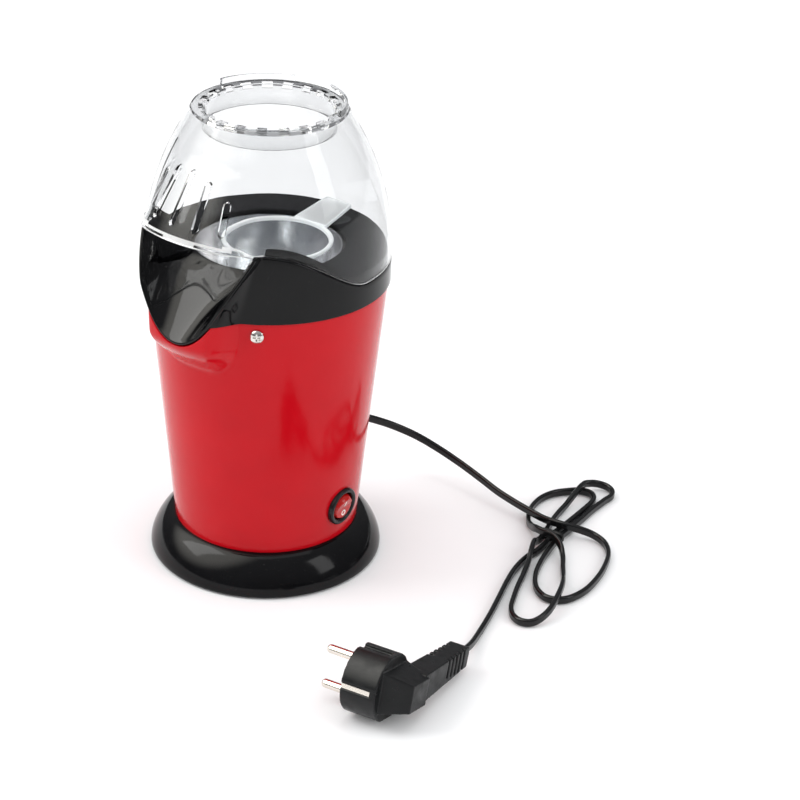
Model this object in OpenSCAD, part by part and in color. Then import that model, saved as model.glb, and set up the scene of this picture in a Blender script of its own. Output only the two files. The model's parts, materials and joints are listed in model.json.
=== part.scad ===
// Hot-air popcorn maker, free standing, with a clear lift-off dome and a front chute.
// Z is up, the chute points to -Y, and the origin is on the body's axis where the feet rest.

/* [Body] */
// Outer radius of the base skirt
base_r = 66; // [65:0.5:67]
// Height of the base skirt, where the body shell begins
base_h = 22; // [21:0.5:22.5]
// Outer radius of the body shell at its foot
body_foot_r = 52; // [51.5:0.5:52.5]
// Outer radius of the body shell at its top edge
body_top_r = 65.5; // [65.2:0.1:65.8]
// Height of the body shell's top edge
body_top_z = 168.5; // [168:0.25:169]
// Wall thickness of the moulded shells
wall = 2.2; // [1.8:0.1:2.4]

/* [Chute] */
// Height of the deck that the popcorn slides over
deck_z = 188.5; // [188:0.25:189]
// How far the chute's lip stands out from the axis
lip_r = 77.9; // [76:0.1:79]
// Height of the lowest point of the lip
lip_z = 155; // [154:0.5:156]

/* [Dome] */
// Height of the dome's flat top
dome_top_z = 264.5; // [262:0.5:268]
// Radius of the round opening in the dome's top
dome_mouth_r = 34.2; // [32:0.1:35]
// Number of vent slots round the dome's shoulder
vent_count = 20; // [12:1:24]
// Number of slots in the hood over the chute
hood_slots = 5; // [3:1:5]

/* [Popping chamber] */
// Inner radius of the aluminium chamber
chamber_r = 39; // [38:0.5:39]
// Height of the chamber's floor
chamber_floor_z = 143; // [142:0.5:143]
// Number of hot-air louvres in the chamber's wall
louvre_count = 24; // [12:1:30]

/* [Drive] */
// Radius of the motor's shaft
shaft_r = 1.5; // [1.2:0.1:1.6]
// Running clearance between the shaft and its bushes
bush_gap = 0.05; // [0.02:0.01:0.1]
// Outer radius of the fan impeller
fan_r = 33; // [28:1:34]
// Number of fan blades
blade_count = 12; // [6:1:16]

/* [Cord] */
// Width of the flat two-core cord
cord_w = 4.8; // [4.4:0.1:4.8]
// Thickness of the flat two-core cord
cord_t = 2.8; // [2.4:0.1:3]

/* [Hidden] */
$fn = 64;
eps = 0.05;
small = $fn / 2;

// Chute housing
ring_r = 66.7;
ring_wall_r = 62.2;
dome_seat_r = 64.2;
ring_back_z = 181.5;
ring_front_z = 206.3;
throat_r = 41.4;
trough_top_z = ring_front_z - 0.5;
trough_half_w = 36.7;
trough_power = 2.1;
sheet_t = 2;
screw_a = 34;
screw_z = 161.3;
foot_r = 5;
foot_ring_r = 54;
skirt_z = 0.8;
plate_z = 2.2;
plate_t = 2;
web_z = base_h - 2.4;
post_ring_r = 46;
post_r = 3.6;
post_angles = [30, 150, 270];

// Switch, on the +X side
switch_z = 42;
switch_r = 54.1;
switch_tilt = 5.3;
bezel_r = 11.3;
barrel_r = 9.9;

// Cord gland, on the +Y side
gland_z = 48;
gland_y = 54.4;
gland_end_y = 75;

// Measuring cup
cup_x = 3;
cup_y = 3.8;
cup_rim_z = 189;
cup_rim_r = 29.3;
cup_foot_r = 25;
cup_wall = 1.5;

// Duct, heater and motor
duct_r = 46;
duct_z = 74.4;
motor_r = 18;
motor_z = 40;
motor_top_z = 75;
board_z = 33;
fan_z = 80;
lug_ring_r = 52;
lug_angles = [60, 180, 300];

// Dome. Radius and height of its outline, from its foot to its top
dome_wall = 1.9;
dome_edge_r = 66.5;
dome_outline = [
  [dome_edge_r, 150], [dome_edge_r, 188], [66.1, 196], [65.3, 203], [64.2, 210], [62.7, 217],
  [60.8, 223.5], [58.6, 230], [56.1, 236.5], [53.1, 243], [49.8, 249.5], [46, 256], [41.2, dome_top_z]
];
// The hood over the chute is turned about an axis of its own, this far towards the chute
hood_axis = 15;
hood_edge_r = 76;
hood_edge_z = 210.5;
hood_side_a = 38;
hood_outline = [
  [50, 248], [56, 243], [61.3, 235], [66.4, 227], [71.3, 219], [hood_edge_r, hood_edge_z]
];
// The dome is fitted turned a little, so the row of slots is off the chute's middle
slot_mid_a = -5;
slot_pitch = 12;
slot_w = 3.8;
slot_foot_z = 217;
slot_top_z = 243;

// The plug lies on the floor, its pins level
plug_at = [140.5, -98.6, 18.3];
plug_r = 18.2;
plug_turn = [15.4, 0, -172.5];
pin_r = 2.4;
pin_gap = 19;
pin_length = 19;
// The pin's root in the plug is thinner, and shows for this height above the plug's face
pin_root_r = 1.9;
pin_root_h = 0.3;

// Centreline of the cord, from the gland's end to the plug's neck
cord_route = [
  [0, 75, 48], [0.5, 84, 46.5], [4, 95, 41], [11, 107, 34], [22, 117, 26.5],
  [36, 122, 20], [52, 123.5, 14.5], [68, 121.5, 11], [82, 118.5, 8.8], [95, 116, 7.8],
  [107, 113.5, 7.6], [120, 111, 7.7], [132, 112, 7.8], [141, 116.5, 6], [149, 120, 3.5],
  [158, 117.5, 2.5], [166, 108.5, 2.5], [171.5, 95, 2.5], [175, 80, 2.5],
  [176, 65, 2.5], [172.5, 52, 2.5], [164, 46.5, 2.5], [154, 51, 2.5],
  [146, 62, 2.5], [140.5, 76, 2.5], [137, 90, 2.8], [135, 104, 3.7],
  [134, 118, 3], [133, 132, 2.5], [132, 146, 2.5], [132, 159.5, 2.5],
  [132.3, 167.5, 2.5], [129.4, 172.8, 2.6], [124.3, 174.8, 3], [119.2, 172.8, 4], [116.3, 167.5, 5.6],
  [116.2, 159.8, 7.7],
  [117, 149, 6.2], [117.3, 139, 3], [118.7, 128, 2.5], [121.6, 116, 2.8],
  [125, 105, 3.7], [126.6, 97, 3.2], [127.5, 91, 4.7], [129.5, 85, 7.5],
  [133, 77, 7.7], [136.7, 68.5, 4.7], [140.3, 58, 2.5],
  [145, 45, 2.5], [150.5, 32, 2.5], [154, 25, 2.5], [159, 19.5, 2.5], [165, 17.5, 2.5],
  [170.5, 20.3, 2.6], [173.3, 26.8, 4], [173.4, 36, 6], [170, 49, 7.9], [165.5, 59.5, 6.6],
  [159.5, 70, 3.6], [153, 80, 2.5], [147.5, 88.5, 3.4], [141.5, 94.5, 6.4],
  [135, 96.8, 8.7], [128.5, 97, 8.6], [122.5, 99, 7.6], [116.7, 103.5, 4.6],
  [110.5, 109.5, 2.5], [105.5, 117, 2.5], [102, 127, 2.5], [101, 138, 2.5],
  [103.5, 148, 2.5], [109, 155.7, 2.5], [113.8, 160.5, 2.5], [119.5, 162.2, 2.5],
  [124.4, 159.8, 2.5], [127.1, 154, 2.5], [128, 144, 2.5], [128.6, 131, 2.5],
  [129.4, 117, 3], [130.2, 105, 3.7], [131.7, 95, 2.9], [132, 85, 2.5],
  [131.4, 74, 2.5], [133, 61, 2.5], [137, 46.5, 2.5], [143, 29, 2.5],
  [149, 11, 2.5], [154.3, -7, 2.8], [158.7, -21, 4.9], [161.35, -32.85, 7.83],
  [161.94, -37.34, 9.08]
];

// ---- helpers ----

function lerp(a, b, t) = a + (b - a) * t;
function clamp01(t) = min(1, max(0, t));
function smooth01(t) = let (c = clamp01(t)) c * c * (3 - 2 * c);
function unit3(v) = v / norm(v);
// Point at angle a from the chute's direction, radius r and height z
function polar(a, r, z) = [r * sin(a), -r * cos(a), z];
// Outer radius of the body shell's cone at height z
function body_r(z) = lerp(body_foot_r, body_top_r, (z - base_h) / (body_top_z - base_h));
// Height of the chute housing's top edge, s being the distance towards the chute
function edge_z(s) = lerp(ring_back_z, ring_front_z, smooth01((s + 2) / 56));

// Moves its children to angle a and radius r, their +X pointing outwards
module around(a, r, z = 0) {
  rotate([0, 0, a - 90]) translate([r, 0, z]) children();
}

module tube(r_out, r_in, h) {
  difference() {
    cylinder(r = r_out, h = h);
    translate([0, 0, -1]) cylinder(r = r_in, h = h + 2);
  }
}

// Closed solid between two grids of points with the same rows and columns. Seen from the
// front grid's side, the columns run to the right and the rows run down.
module grid_solid(front, back) {
  rows = len(front);
  cols = len(front[0]);
  count = rows * cols;
  points = concat([for (row = front) each row], [for (row = back) each row]);
  front_faces = [for (i = [0 : rows - 2]) for (j = [0 : cols - 2])
    let (a = i * cols + j) each [[a, a + 1, a + cols], [a + 1, a + cols + 1, a + cols]]];
  back_faces = [for (face = front_faces) [for (k = [2, 1, 0]) face[k] + count]];
  rim = concat(
    [for (j = [0 : cols - 1]) j],
    [for (i = [1 : rows - 1]) i * cols + cols - 1],
    [for (j = [cols - 2 : -1 : 0]) (rows - 1) * cols + j],
    [for (i = [rows - 2 : -1 : 1]) i * cols]);
  rim_faces = [for (k = [0 : len(rim) - 1])
    let (a = rim[k], b = rim[(k + 1) % len(rim)]) each [[b, a, a + count], [b, a + count, b + count]]];
  polyhedron(points = points, faces = concat(front_faces, back_faces, rim_faces));
}

// ---- chute geometry ----

t_steps = [for (i = [-7 : 7]) i / 7];
v_steps = [for (i = [0 : 4]) i / 4];
lip_bend = 0.7;
lip_retreat = 9.4;
lip_bead = 0.6;
mouth_a = 35;
chin_a = 28;

// Upper end of the trough: along the chamber's rim, then up to the corners of the mouth
function throat(t) =
  let (flat = clamp01(abs(t) / 0.78), side = clamp01((abs(t) - 0.78) / 0.22))
  polar(sign(t) * lerp(40 * flat, mouth_a + 1, side), lerp(throat_r, 64, side),
        lerp(deck_z - 0.2, trough_top_z, side));
// Radius of the lip in plan, t running from one end of the lip to the other
function lip_plan_r(t) = lip_r - lip_retreat * pow(clamp01((abs(t) - lip_bend) / (1 - lip_bend)), 1.5);
// Lip of the trough: a parabola in front view, on a cylinder in plan
function lip(t) =
  let (w = trough_half_w * t, r = lip_plan_r(t))
  [w, -sqrt(r * r - w * w), lip_z + (trough_top_z - lip_z) * pow(abs(t), trough_power)];
// Where the lip is at height z, the inverse of the parabola
function lip_t(z) = pow(clamp01((z - lip_z) / (trough_top_z - lip_z)), 1 / trough_power);
function trough(t, v, drop = 0) =
  lerp(throat(t), lip(t), v) + drop * [0.95 * t, 0.67 * (1 - t * t), -0.74 * (1 - 0.75 * t * t)];
function trough_grid(drop) = [for (v = v_steps) [for (t = t_steps) trough(t, v, drop)]];

// Space above the trough's surface, or above a surface drop below it
module trough_space(drop = 0) {
  under = [for (v = v_steps) [for (t = t_steps) trough(t, lerp(-0.05, 1.4, v), drop)]];
  above = [for (row = under) [for (p = row) [p[0], p[1], 225]]];
  grid_solid(above, under);
}

// Radius of the prow round the trough, above the body's top edge
function prow_r(a, z) =
  let (rise = clamp01((z - body_top_z) / (ring_front_z - body_top_z)),
       t = lip_t(z),
       edge_r = lip_plan_r(t) - lip_bead,
       edge_a = asin(trough_half_w * t / edge_r),
       reach = lerp(chin_a, mouth_a, rise))
  lerp(edge_r, ring_r - 0.5, smooth01((abs(a) - edge_a) / (reach - edge_a)));
// Inner radius of the prow: a thin wall at the front that thickens into the ring at the sides
function prow_inner_r(a, z) =
  lerp(ring_wall_r + 1, lip_r - lip_bead - wall, smooth01((prow_r(a, z) - 72) / 5));
// Radius of the body's chin, which carries the prow down to the cone and sinks into it
chin_z = 132;
chin_sink = 0.5;
function chin_r(a, z) =
  let (rise = clamp01((z - chin_z) / (body_top_z - chin_z)),
       reach = max(2, chin_a * sin(90 * pow(rise, 0.32))),
       bulge = smooth01((z - chin_z) / (lip_z - chin_z)) * (lip_r - lip_bead + chin_sink - body_r(z)))
  body_r(z) - chin_sink + bulge * (1 - smooth01((abs(a) / reach - 0.5) / 0.5));

prow_steps = [for (i = [-12 : 12]) i / 12];

// ---- base ----

function skirt_profile(inset) =
  [for (i = [0 : 12])
    let (t = i / 12)
    [52.7 - inset + (base_r - 52.7) * pow(1 - pow(t, 1.5), 0.667), lerp(3, base_h, t)]];

module base_skirt() {
  color("#151515")
  difference() {
    rotate_extrude() polygon(concat(
      [[40, base_h], [40, web_z], [48, web_z]],
      [for (i = [11 : -1 : 0])
        let (t = i / 12) [50.2 + 13.3 * pow(1 - pow(t, 1.5), 0.667), lerp(3, web_z, t)]],
      [[63.5, skirt_z], [base_r - 0.8, skirt_z], [base_r, skirt_z + 0.8]],
      skirt_profile(0)));
    for (a = post_angles) around(a, post_ring_r, web_z - 1) cylinder(r = 1.6, h = 5);
  }
}

module base_plate() {
  color("#1c1c1c")
  difference() {
    union() {
      translate([0, 0, plate_z]) cylinder(r = 63.2, h = plate_t);
      for (a = post_angles)
        around(a, post_ring_r, plate_z) cylinder(r = post_r, h = web_z - plate_z);
    }
    for (a = post_angles) around(a, post_ring_r, 0) {
      cylinder(r = 1.6, h = 30);
      translate([0, 0, plate_z - 1]) cylinder(r = 3.2, h = 2.8);
    }
    for (a = [0 : 20 : 340], r = [16, 27]) around(a, r, plate_z - 1)
      translate([-4, -1.2, 0]) cube([8, 2.4, plate_t + 2]);
  }
}

module rubber_foot() {
  translate([0, 0, 0.6]) cylinder(r = foot_r, h = plate_z - 0.6);
  cylinder(r1 = foot_r - 0.6, r2 = foot_r, h = 0.6);
}

module rubber_feet() {
  color("#242424") {
    for (a = [45 : 90 : 315]) around(a, foot_ring_r) rubber_foot();
    rubber_foot();
  }
}

module base_screws() {
  color("silver")
  for (a = post_angles) around(a, post_ring_r) difference() {
    union() {
      translate([0, 0, plate_z + 0.2]) cylinder(r = 2.9, h = 1.6, $fn = small);
      translate([0, 0, plate_z + 1.8]) cylinder(r = 1.5, h = 24, $fn = small);
    }
    translate([-2, -0.4, plate_z - 0.4]) cube([4, 0.8, 1.4]);
    translate([-0.4, -2, plate_z - 0.4]) cube([0.8, 4, 1.4]);
  }
}

// ---- body ----

module chin_sheet() {
  heights = [for (i = [0 : 7]) lerp(chin_z, body_top_z, i / 7)];
  outer = [for (z = heights) [for (x = prow_steps) polar(x * 29, chin_r(x * 29, z), z)]];
  inner = [for (z = heights) [for (x = prow_steps) polar(x * 29, chin_r(x * 29, z) - wall, z)]];
  grid_solid(inner, outer);
}

module chin_hollow() {
  heights = [for (i = [0 : 7]) lerp(chin_z + 2, body_top_z + 1, i / 7)];
  outer = [for (z = heights) [for (x = prow_steps) polar(x * 26, chin_r(x * 26, z) - wall, z)]];
  inner = [for (z = heights) [for (x = prow_steps) polar(x * 26, 48, z)]];
  grid_solid(inner, outer);
}

module body_shell() {
  color("#c8102e")
  difference() {
    union() {
      difference() {
        rotate_extrude() polygon([
          [42, base_h], [body_foot_r, base_h], [body_top_r, body_top_z],
          [body_top_r - wall, body_top_z], [body_r(base_h + 2.5) - wall, base_h + 2.5],
          [42, base_h + 2.5]]);
        chin_hollow();
      }
      chin_sheet();
      for (a = post_angles) around(a, post_ring_r, base_h) cylinder(r = post_r, h = 8);
    }
    for (a = post_angles) around(a, post_ring_r, base_h - 1) cylinder(r = 1.55, h = 8);
    trough_space(sheet_t + 0.3);
    for (a = [-screw_a, screw_a]) around(a, 0, screw_z)
      rotate([0, 90, 0]) cylinder(r = 1.8, h = 80, $fn = small);
    switch_place() {
      translate([0, 0, -25]) cylinder(r = barrel_r + 0.15, h = 40);
      translate([0, 0, -1.1]) cylinder(r = bezel_r + 0.15, h = 10);
    }
    translate([0, 40, gland_z]) rotate([-90, 0, 0]) cylinder(r = 4.05, h = 20, $fn = small);
  }
}

// ---- chute housing ----

module ring_walls() {
  difference() {
    translate([0, 0, body_top_z]) tube(ring_r, ring_wall_r, 50);
    // Above the top edge only the seat's lip stays, and that is lower still at the back
    rotate([90, 0, 90]) translate([0, 0, -80]) linear_extrude(160) polygon(concat(
      [for (i = [0 : 28]) let (y = 2 - 2 * i) [y, seat_z(-y)]],
      [[-80, seat_z(80)], [-80, 240], [80, 240], [80, seat_z(-80)]]));
    difference() {
      rotate([90, 0, 90]) translate([0, 0, -80]) linear_extrude(160) polygon(concat(
        [for (i = [0 : 28]) let (y = 2 - 2 * i) [y, edge_z(-y)]],
        [[-80, edge_z(80)], [-80, 240], [80, 240], [80, edge_z(-80)]]));
      rotate_extrude() polygon(concat([[0, 100], [dome_seat_r, 100]],
        [for (i = [1 : 6]) dome_outline[i] - [dome_edge_r - dome_seat_r, 0]], [[0, dome_outline[6][1]]]));
    }
  }
}

// Height of the lip that locates the dome
function seat_z(s) = max(deck_z, edge_z(s) + 3);

module prow_sheet() {
  heights = [for (i = [0 : 5]) lerp(body_top_z, ring_front_z - 0.2, i / 5)];
  outer = [for (z = heights) [for (x = prow_steps) polar(x * 36, prow_r(x * 36, z), z)]];
  inner = [for (z = heights) [for (x = prow_steps) polar(x * 36, prow_inner_r(x * 36, z), z)]];
  grid_solid(inner, outer);
}

module chute_housing() {
  color("#101010")
  difference() {
    union() {
      difference() {
        union() {
          ring_walls();
          prow_sheet();
          translate([0, 0, body_top_z - 10]) tube(body_r(body_top_z - 10) - wall - 0.4, 59.6, 10 + eps);
          translate([0, 0, body_top_z - eps]) tube(ring_wall_r + eps, 59.6, 2);
          translate([0, 0, deck_z - 2]) tube(ring_wall_r + eps, throat_r, 2);
          for (a = lug_angles) around(a, lug_ring_r, 172) cylinder(r = 4, h = deck_z - 173);
          for (a = [-screw_a, screw_a]) around(a, 52, screw_z)
            rotate([0, 90, 0]) cylinder(r = 3.6, h = 9, $fn = small);
        }
        trough_space(0.5);
      }
      grid_solid(trough_grid(0), trough_grid(sheet_t));
    }
    for (a = lug_angles) around(a, lug_ring_r, 171) cylinder(r = 1.55, h = 12);
    for (a = [-screw_a, screw_a]) around(a, 50, screw_z)
      rotate([0, 90, 0]) cylinder(r = 1.55, h = 20, $fn = small);
  }
}

module housing_screws() {
  head_r = 3.6;
  head_lift = 0.45;
  color("silver")
  for (a = [-screw_a, screw_a]) around(a, 0, screw_z) rotate([0, 90, 0]) difference() {
    union() {
      translate([0, 0, 54]) cylinder(r = 1.5, h = body_r(screw_z) - 53.5, $fn = small);
      translate([0, 0, body_r(screw_z) + head_lift]) intersection() {
        cylinder(r = head_r, h = 2.2, $fn = small);
        translate([0, 0, -2.9]) sphere(r = 5.1, $fn = small);
      }
    }
    translate([-2, -0.45, body_r(screw_z) + 1]) cube([4, 0.9, 3]);
    translate([-0.45, -2, body_r(screw_z) + 1]) cube([0.9, 4, 3]);
  }
}

// ---- popping chamber ----

chamber_wall = 0.9;
flange_z = deck_z - 6.5;

module chamber_seal() {
  color("#303030")
  translate([0, 0, flange_z + 1]) tube(throat_r - 0.1, chamber_r + chamber_wall + 0.1, 2.4);
}

module popping_chamber() {
  color("#c9ccd0")
  difference() {
    union() {
      translate([0, 0, chamber_floor_z - chamber_wall])
        cylinder(r = chamber_r + chamber_wall, h = deck_z - 1.2 - chamber_floor_z);
      translate([0, 0, flange_z]) cylinder(r = 42.5, h = 1);
    }
    translate([0, 0, chamber_floor_z]) cylinder(r = chamber_r, h = 80);
    for (i = [0 : louvre_count - 1]) around(i * 360 / louvre_count, chamber_r, chamber_floor_z + 4)
      rotate([20, 0, 0]) translate([-3, -0.8, 0]) cube([6, 1.6, 9]);
  }
}

module measuring_cup() {
  depth = cup_rim_z - chamber_floor_z - 0.1;
  color("#dfe6ea", 0.35)
  translate([cup_x, cup_y, chamber_floor_z + 0.1]) {
    difference() {
      union() {
        cylinder(r1 = cup_foot_r, r2 = cup_rim_r, h = depth);
        translate([0, 0, depth - 1.5]) cylinder(r = cup_rim_r + 1, h = 1.5);
        translate([0, 28, depth]) rotate([9, 0, 0]) translate([0, 0, -1.4]) linear_extrude(1.8)
          polygon([[-11, -2], [11, -2], [9.3, 28], [-9.3, 28]]);
      }
      translate([0, 0, 1.6])
        cylinder(r1 = cup_foot_r - cup_wall, r2 = cup_rim_r - cup_wall + 0.3, h = depth + 2);
    }
  }
}

// ---- dome ----

// What lies below the dome's lower edge
module dome_cut() {
  rotate([90, 0, 90]) translate([0, 0, -100]) linear_extrude(200) polygon(concat(
    [[100, 100], [100, ring_back_z + 0.1]],
    [for (i = [0 : 28]) let (y = 2 - 2 * i) [y, edge_z(-y) + 0.1]],
    [[-hood_edge_r, hood_edge_z], [-100, hood_edge_z + 3.5], [-100, 100]]));
}

// Upright wedge about the axis, from angle a1 to angle a2
module wedge(a1, a2) {
  translate([0, 0, 150]) linear_extrude(150) polygon(concat([[0, 0]],
    [for (k = [0 : 4]) let (a = lerp(a1, a2, k / 4)) [120 * sin(a), -120 * cos(a)]]));
}

// Points are given as seen in the plane through the chute's middle
module hood_form(points, side_a) {
  profile = concat([[hood_axis, 190], [hood_axis, points[0][1]]], points, [[points[len(points) - 1][0], 190]]);
  intersection() {
    translate([0, -hood_axis, 0]) rotate_extrude() polygon([for (p = profile) p - [hood_axis, 0]]);
    wedge(-side_a, side_a);
  }
}

module hood_slot(k) {
  top_z = slot_top_z - 2 * k * k - 1.2 * k;
  rotate([0, 0, slot_mid_a + k * slot_pitch]) translate([0, -50, 0]) {
    translate([-slot_w / 2, -40, slot_foot_z + slot_w / 2])
      cube([slot_w, 40, top_z - slot_foot_z - slot_w]);
    for (z = [slot_foot_z + slot_w / 2, top_z - slot_w / 2])
      translate([0, 0, z]) rotate([90, 0, 0]) cylinder(r = slot_w / 2, h = 40, $fn = 24);
  }
}

module dome_cover() {
  outer = concat([[0, 150]], dome_outline, [[0, dome_top_z]]);
  inner = concat([[0, 140], [dome_edge_r - dome_wall, 140]],
    [for (i = [1 : len(dome_outline) - 2]) dome_outline[i] - [dome_wall, 0.4]],
    [[40.4, dome_top_z - dome_wall], [0, dome_top_z - dome_wall]]);
  color("#e8eef2", 0.25)
  difference() {
    union() {
      difference() {
        union() {
          rotate_extrude() polygon(outer);
          hood_form(hood_outline, hood_side_a);
        }
        rotate_extrude() polygon(inner);
        hood_form([for (p = hood_outline) p - [dome_wall, 0.9]], hood_side_a - 1.7);
        dome_cut();
      }
      translate([0, 0, dome_top_z - 12]) tube(dome_mouth_r + 1.5, dome_mouth_r, 12);
      for (a = [-161, 104]) intersection() {
        translate([0, 0, dome_top_z - eps]) tube(40.8, 39, 3.6);
        wedge(a, a + 61);
      }
    }
    translate([0, 0, dome_top_z - 20]) cylinder(r = dome_mouth_r, h = 40);
    for (i = [0 : vent_count - 1])
      around((i + 0.31) * 360 / vent_count, dome_mouth_r - 1, dome_top_z - 3)
        translate([0, -3, 0]) cube([4.3, 6, 4]);
    for (i = [0 : hood_slots - 1]) hood_slot(i - (hood_slots - 1) / 2);
  }
}

// ---- duct and heater ----

duct_wall = 0.8;

module inner_duct() {
  color("#b9bcc0")
  difference() {
    union() {
      rotate_extrude() polygon([
        [40, duct_z], [duct_r, duct_z], [duct_r, 172], [42, 179], [42, flange_z],
        [42 - duct_wall, flange_z], [42 - duct_wall, 178.6], [duct_r - duct_wall, 171.6],
        [duct_r - duct_wall, duct_z + duct_wall], [40, duct_z + duct_wall]]);
      for (a = lug_angles) around(a, duct_r - 0.4, 171.2)
        translate([0, -4, 0]) cube([11, 8, duct_wall]);
    }
    for (a = lug_angles) around(a, lug_ring_r, 165) cylinder(r = 1.7, h = 10, $fn = small);
  }
}

module duct_screws() {
  color("silver")
  for (a = lug_angles) around(a, lug_ring_r, 169.5) {
    cylinder(r = 2.9, h = 1.7, $fn = small);
    cylinder(r = 1.5, h = 11, $fn = small);
  }
}

module motor_plate() {
  color("#a9adb2")
  difference() {
    translate([0, 0, duct_z + duct_wall]) cylinder(r = duct_r - duct_wall - 0.2, h = 1.6);
    translate([0, 0, duct_z]) cylinder(r = 5, h = 5);
    for (a = [-90, 90]) around(a, 11, duct_z) cylinder(r = 1.7, h = 5, $fn = small);
    for (a = [30 : 60 : 330]) around(a, 20.5, duct_z) translate([0, -5, 0]) cube([11, 10, 5]);
    for (a = [0, 180]) around(a, 36, duct_z) translate([0, -3, 0]) cube([7, 6, 5]);
  }
}

plate_top_z = duct_z + duct_wall + 1.6;

module motor_screws() {
  color("silver")
  for (a = [-90, 90]) around(a, 11) {
    translate([0, 0, plate_top_z]) cylinder(r = 2.6, h = 1.4, $fn = small);
    translate([0, 0, motor_top_z - 1.3]) cylinder(r = 1.4, h = plate_top_z - motor_top_z + 2, $fn = small);
  }
}

coil_rings = [[30, 108], [35, 108], [30, 115], [35, 115], [30, 122], [35, 122]];
coil_wire_r = 1.1;

module coil_solids(wire_r) {
  for (ring = coil_rings)
    rotate_extrude() translate([ring[0], ring[1]]) circle(r = wire_r, $fn = 16);
}

module heater_frame() {
  plate = 0.8;
  color("#d8d2bf")
  difference() {
    for (a = [45, 135]) rotate([0, 0, a]) translate([-44, -plate / 2, 0]) {
      translate([0, 0, 102]) cube([88, plate, 26]);
      for (x = [0, 82]) translate([x, 0, plate_top_z]) cube([6, plate, 26]);
    }
    coil_solids(coil_wire_r + 0.2);
  }
}

module heater_coil() {
  color("#8f8a86") coil_solids(coil_wire_r);
}

module thermostat() {
  color("#c7b9a0")
  translate([0, 0, chamber_floor_z - chamber_wall - 5]) {
    cylinder(r = 8, h = 5);
    translate([0, 0, -2]) cylinder(r = 6, h = 2 + eps);
    for (x = [-4, 4]) translate([x - 0.4, -1.6, -7]) cube([0.8, 3.2, 5.2]);
  }
}

module thermal_fuse() {
  color("#d8d8d8")
  translate([20, 0, chamber_floor_z - chamber_wall - 2.1]) rotate([90, 0, 0]) {
    translate([0, 0, -6]) cylinder(r = 2, h = 12, $fn = small);
    translate([0, 0, -13]) cylinder(r = 0.5, h = 26, $fn = small);
  }
}

// ---- motor and fan ----

module motor_can() {
  color("#9da1a6")
  translate([0, 0, motor_z]) difference() {
    cylinder(r = motor_r, h = motor_top_z - motor_z);
    translate([0, 0, -1]) cylinder(r = motor_r - 1.2, h = motor_top_z - motor_z - 0.6);
    cylinder(r = 3.6, h = 60);
    for (a = [-90, 90]) around(a, 11, 20) cylinder(r = 1.45, h = 20, $fn = small);
  }
}

module motor_end_cap() {
  color("#e4e0d2")
  difference() {
    union() {
      translate([0, 0, motor_z - 3]) cylinder(r = motor_r, h = 3);
      translate([0, 0, motor_z - eps]) tube(motor_r - 1.3, motor_r - 3, 3);
    }
    translate([0, 0, motor_z - 5]) cylinder(r = 3.6, h = 10);
  }
}

module motor_magnets() {
  color("#4a4a4a")
  difference() {
    translate([0, 0, 46]) tube(motor_r - 1.3, 13.8, 24);
    translate([-20, -5, 40]) cube([40, 10, 40]);
  }
}

module upper_bush() {
  color("#b08a4a") translate([0, 0, 71.5]) tube(3.6, shaft_r + bush_gap, 5);
}

module lower_bush() {
  color("#b08a4a") translate([0, 0, motor_z - 3]) tube(3.6, shaft_r + bush_gap, 3.6);
}

module motor_shaft() {
  color("#c9ccd0") translate([0, 0, motor_z - 3.5]) cylinder(r = shaft_r, h = 59.5, $fn = small);
}

module armature_core() {
  color("#8a8d91")
  translate([0, 0, 50]) difference() {
    cylinder(r = 13.2, h = 16);
    translate([0, 0, -1]) cylinder(r = shaft_r, h = 20, $fn = small);
    for (a = [0 : 120 : 240]) rotate([0, 0, a]) {
      translate([9, -1.2, -1]) cube([6, 2.4, 20]);
      translate([6.5, -4.5, -1]) cube([4.5, 9, 20]);
    }
  }
}

module armature_windings() {
  color("#b5652b")
  for (a = [0 : 120 : 240]) rotate([0, 0, a]) {
    translate([6.7, -4.3, 47.6]) cube([4.1, 8.6, 20.8]);
  }
}

module commutator() {
  color("#b87333") translate([0, 0, 41.2]) tube(3.4, shaft_r, 5.6);
}

module brushes() {
  color("#3a3a3a")
  for (x = [-1, 1]) translate([x > 0 ? 3.5 : -6.5, -1.5, 42.2]) cube([3, 3, 3.4]);
  color("#b08a4a")
  for (x = [-1, 1]) translate([x > 0 ? 6.5 : -14.9, -1, 43.2]) cube([8.4, 2, 0.6]);
}

module fan_impeller() {
  color("#2b2b2b")
  translate([0, 0, fan_z]) difference() {
    union() {
      cylinder(r = 5, h = 13);
      cylinder(r = fan_r, h = 1.4);
      for (i = [0 : blade_count - 1]) rotate([0, 0, i * 360 / blade_count])
        translate([9, 0, 0]) rotate([0, 0, 25]) translate([-4, -0.6, 0]) cube([26, 1.2, 11]);
    }
    translate([0, 0, -1]) cylinder(r = shaft_r, h = 20, $fn = small);
    translate([0, 0, -1]) tube(60, fan_r, 20);
  }
}

module rectifier_board() {
  color("#3c6b3a")
  difference() {
    translate([0, 0, board_z]) cylinder(r = 15, h = 1.5);
    for (x = [-9, 9]) translate([x, 0, board_z - 1]) cylinder(r = 1.3, h = 5, $fn = small);
  }
  color("#c9ccd0")
  for (x = [-9, 9]) translate([x, 0, board_z + 0.2]) cylinder(r = 1.3, h = motor_z - 3.2 - board_z, $fn = small);
}

module rectifier_diodes() {
  color("#202020")
  for (y = [-7.5, -2.5, 2.5, 7.5]) translate([-3.2, y, board_z - 1.5])
    rotate([0, 90, 0]) cylinder(r = 1.4, h = 6.4, $fn = small);
}

// ---- switch ----

module switch_place() {
  translate([switch_r, 0, switch_z]) rotate([0, 90 + switch_tilt, 0]) rotate([0, 0, 90]) children();
}

rocker_pivot = -2.4;
trunnion_r = 1.2;
trunnion_end = 8.9;

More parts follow.
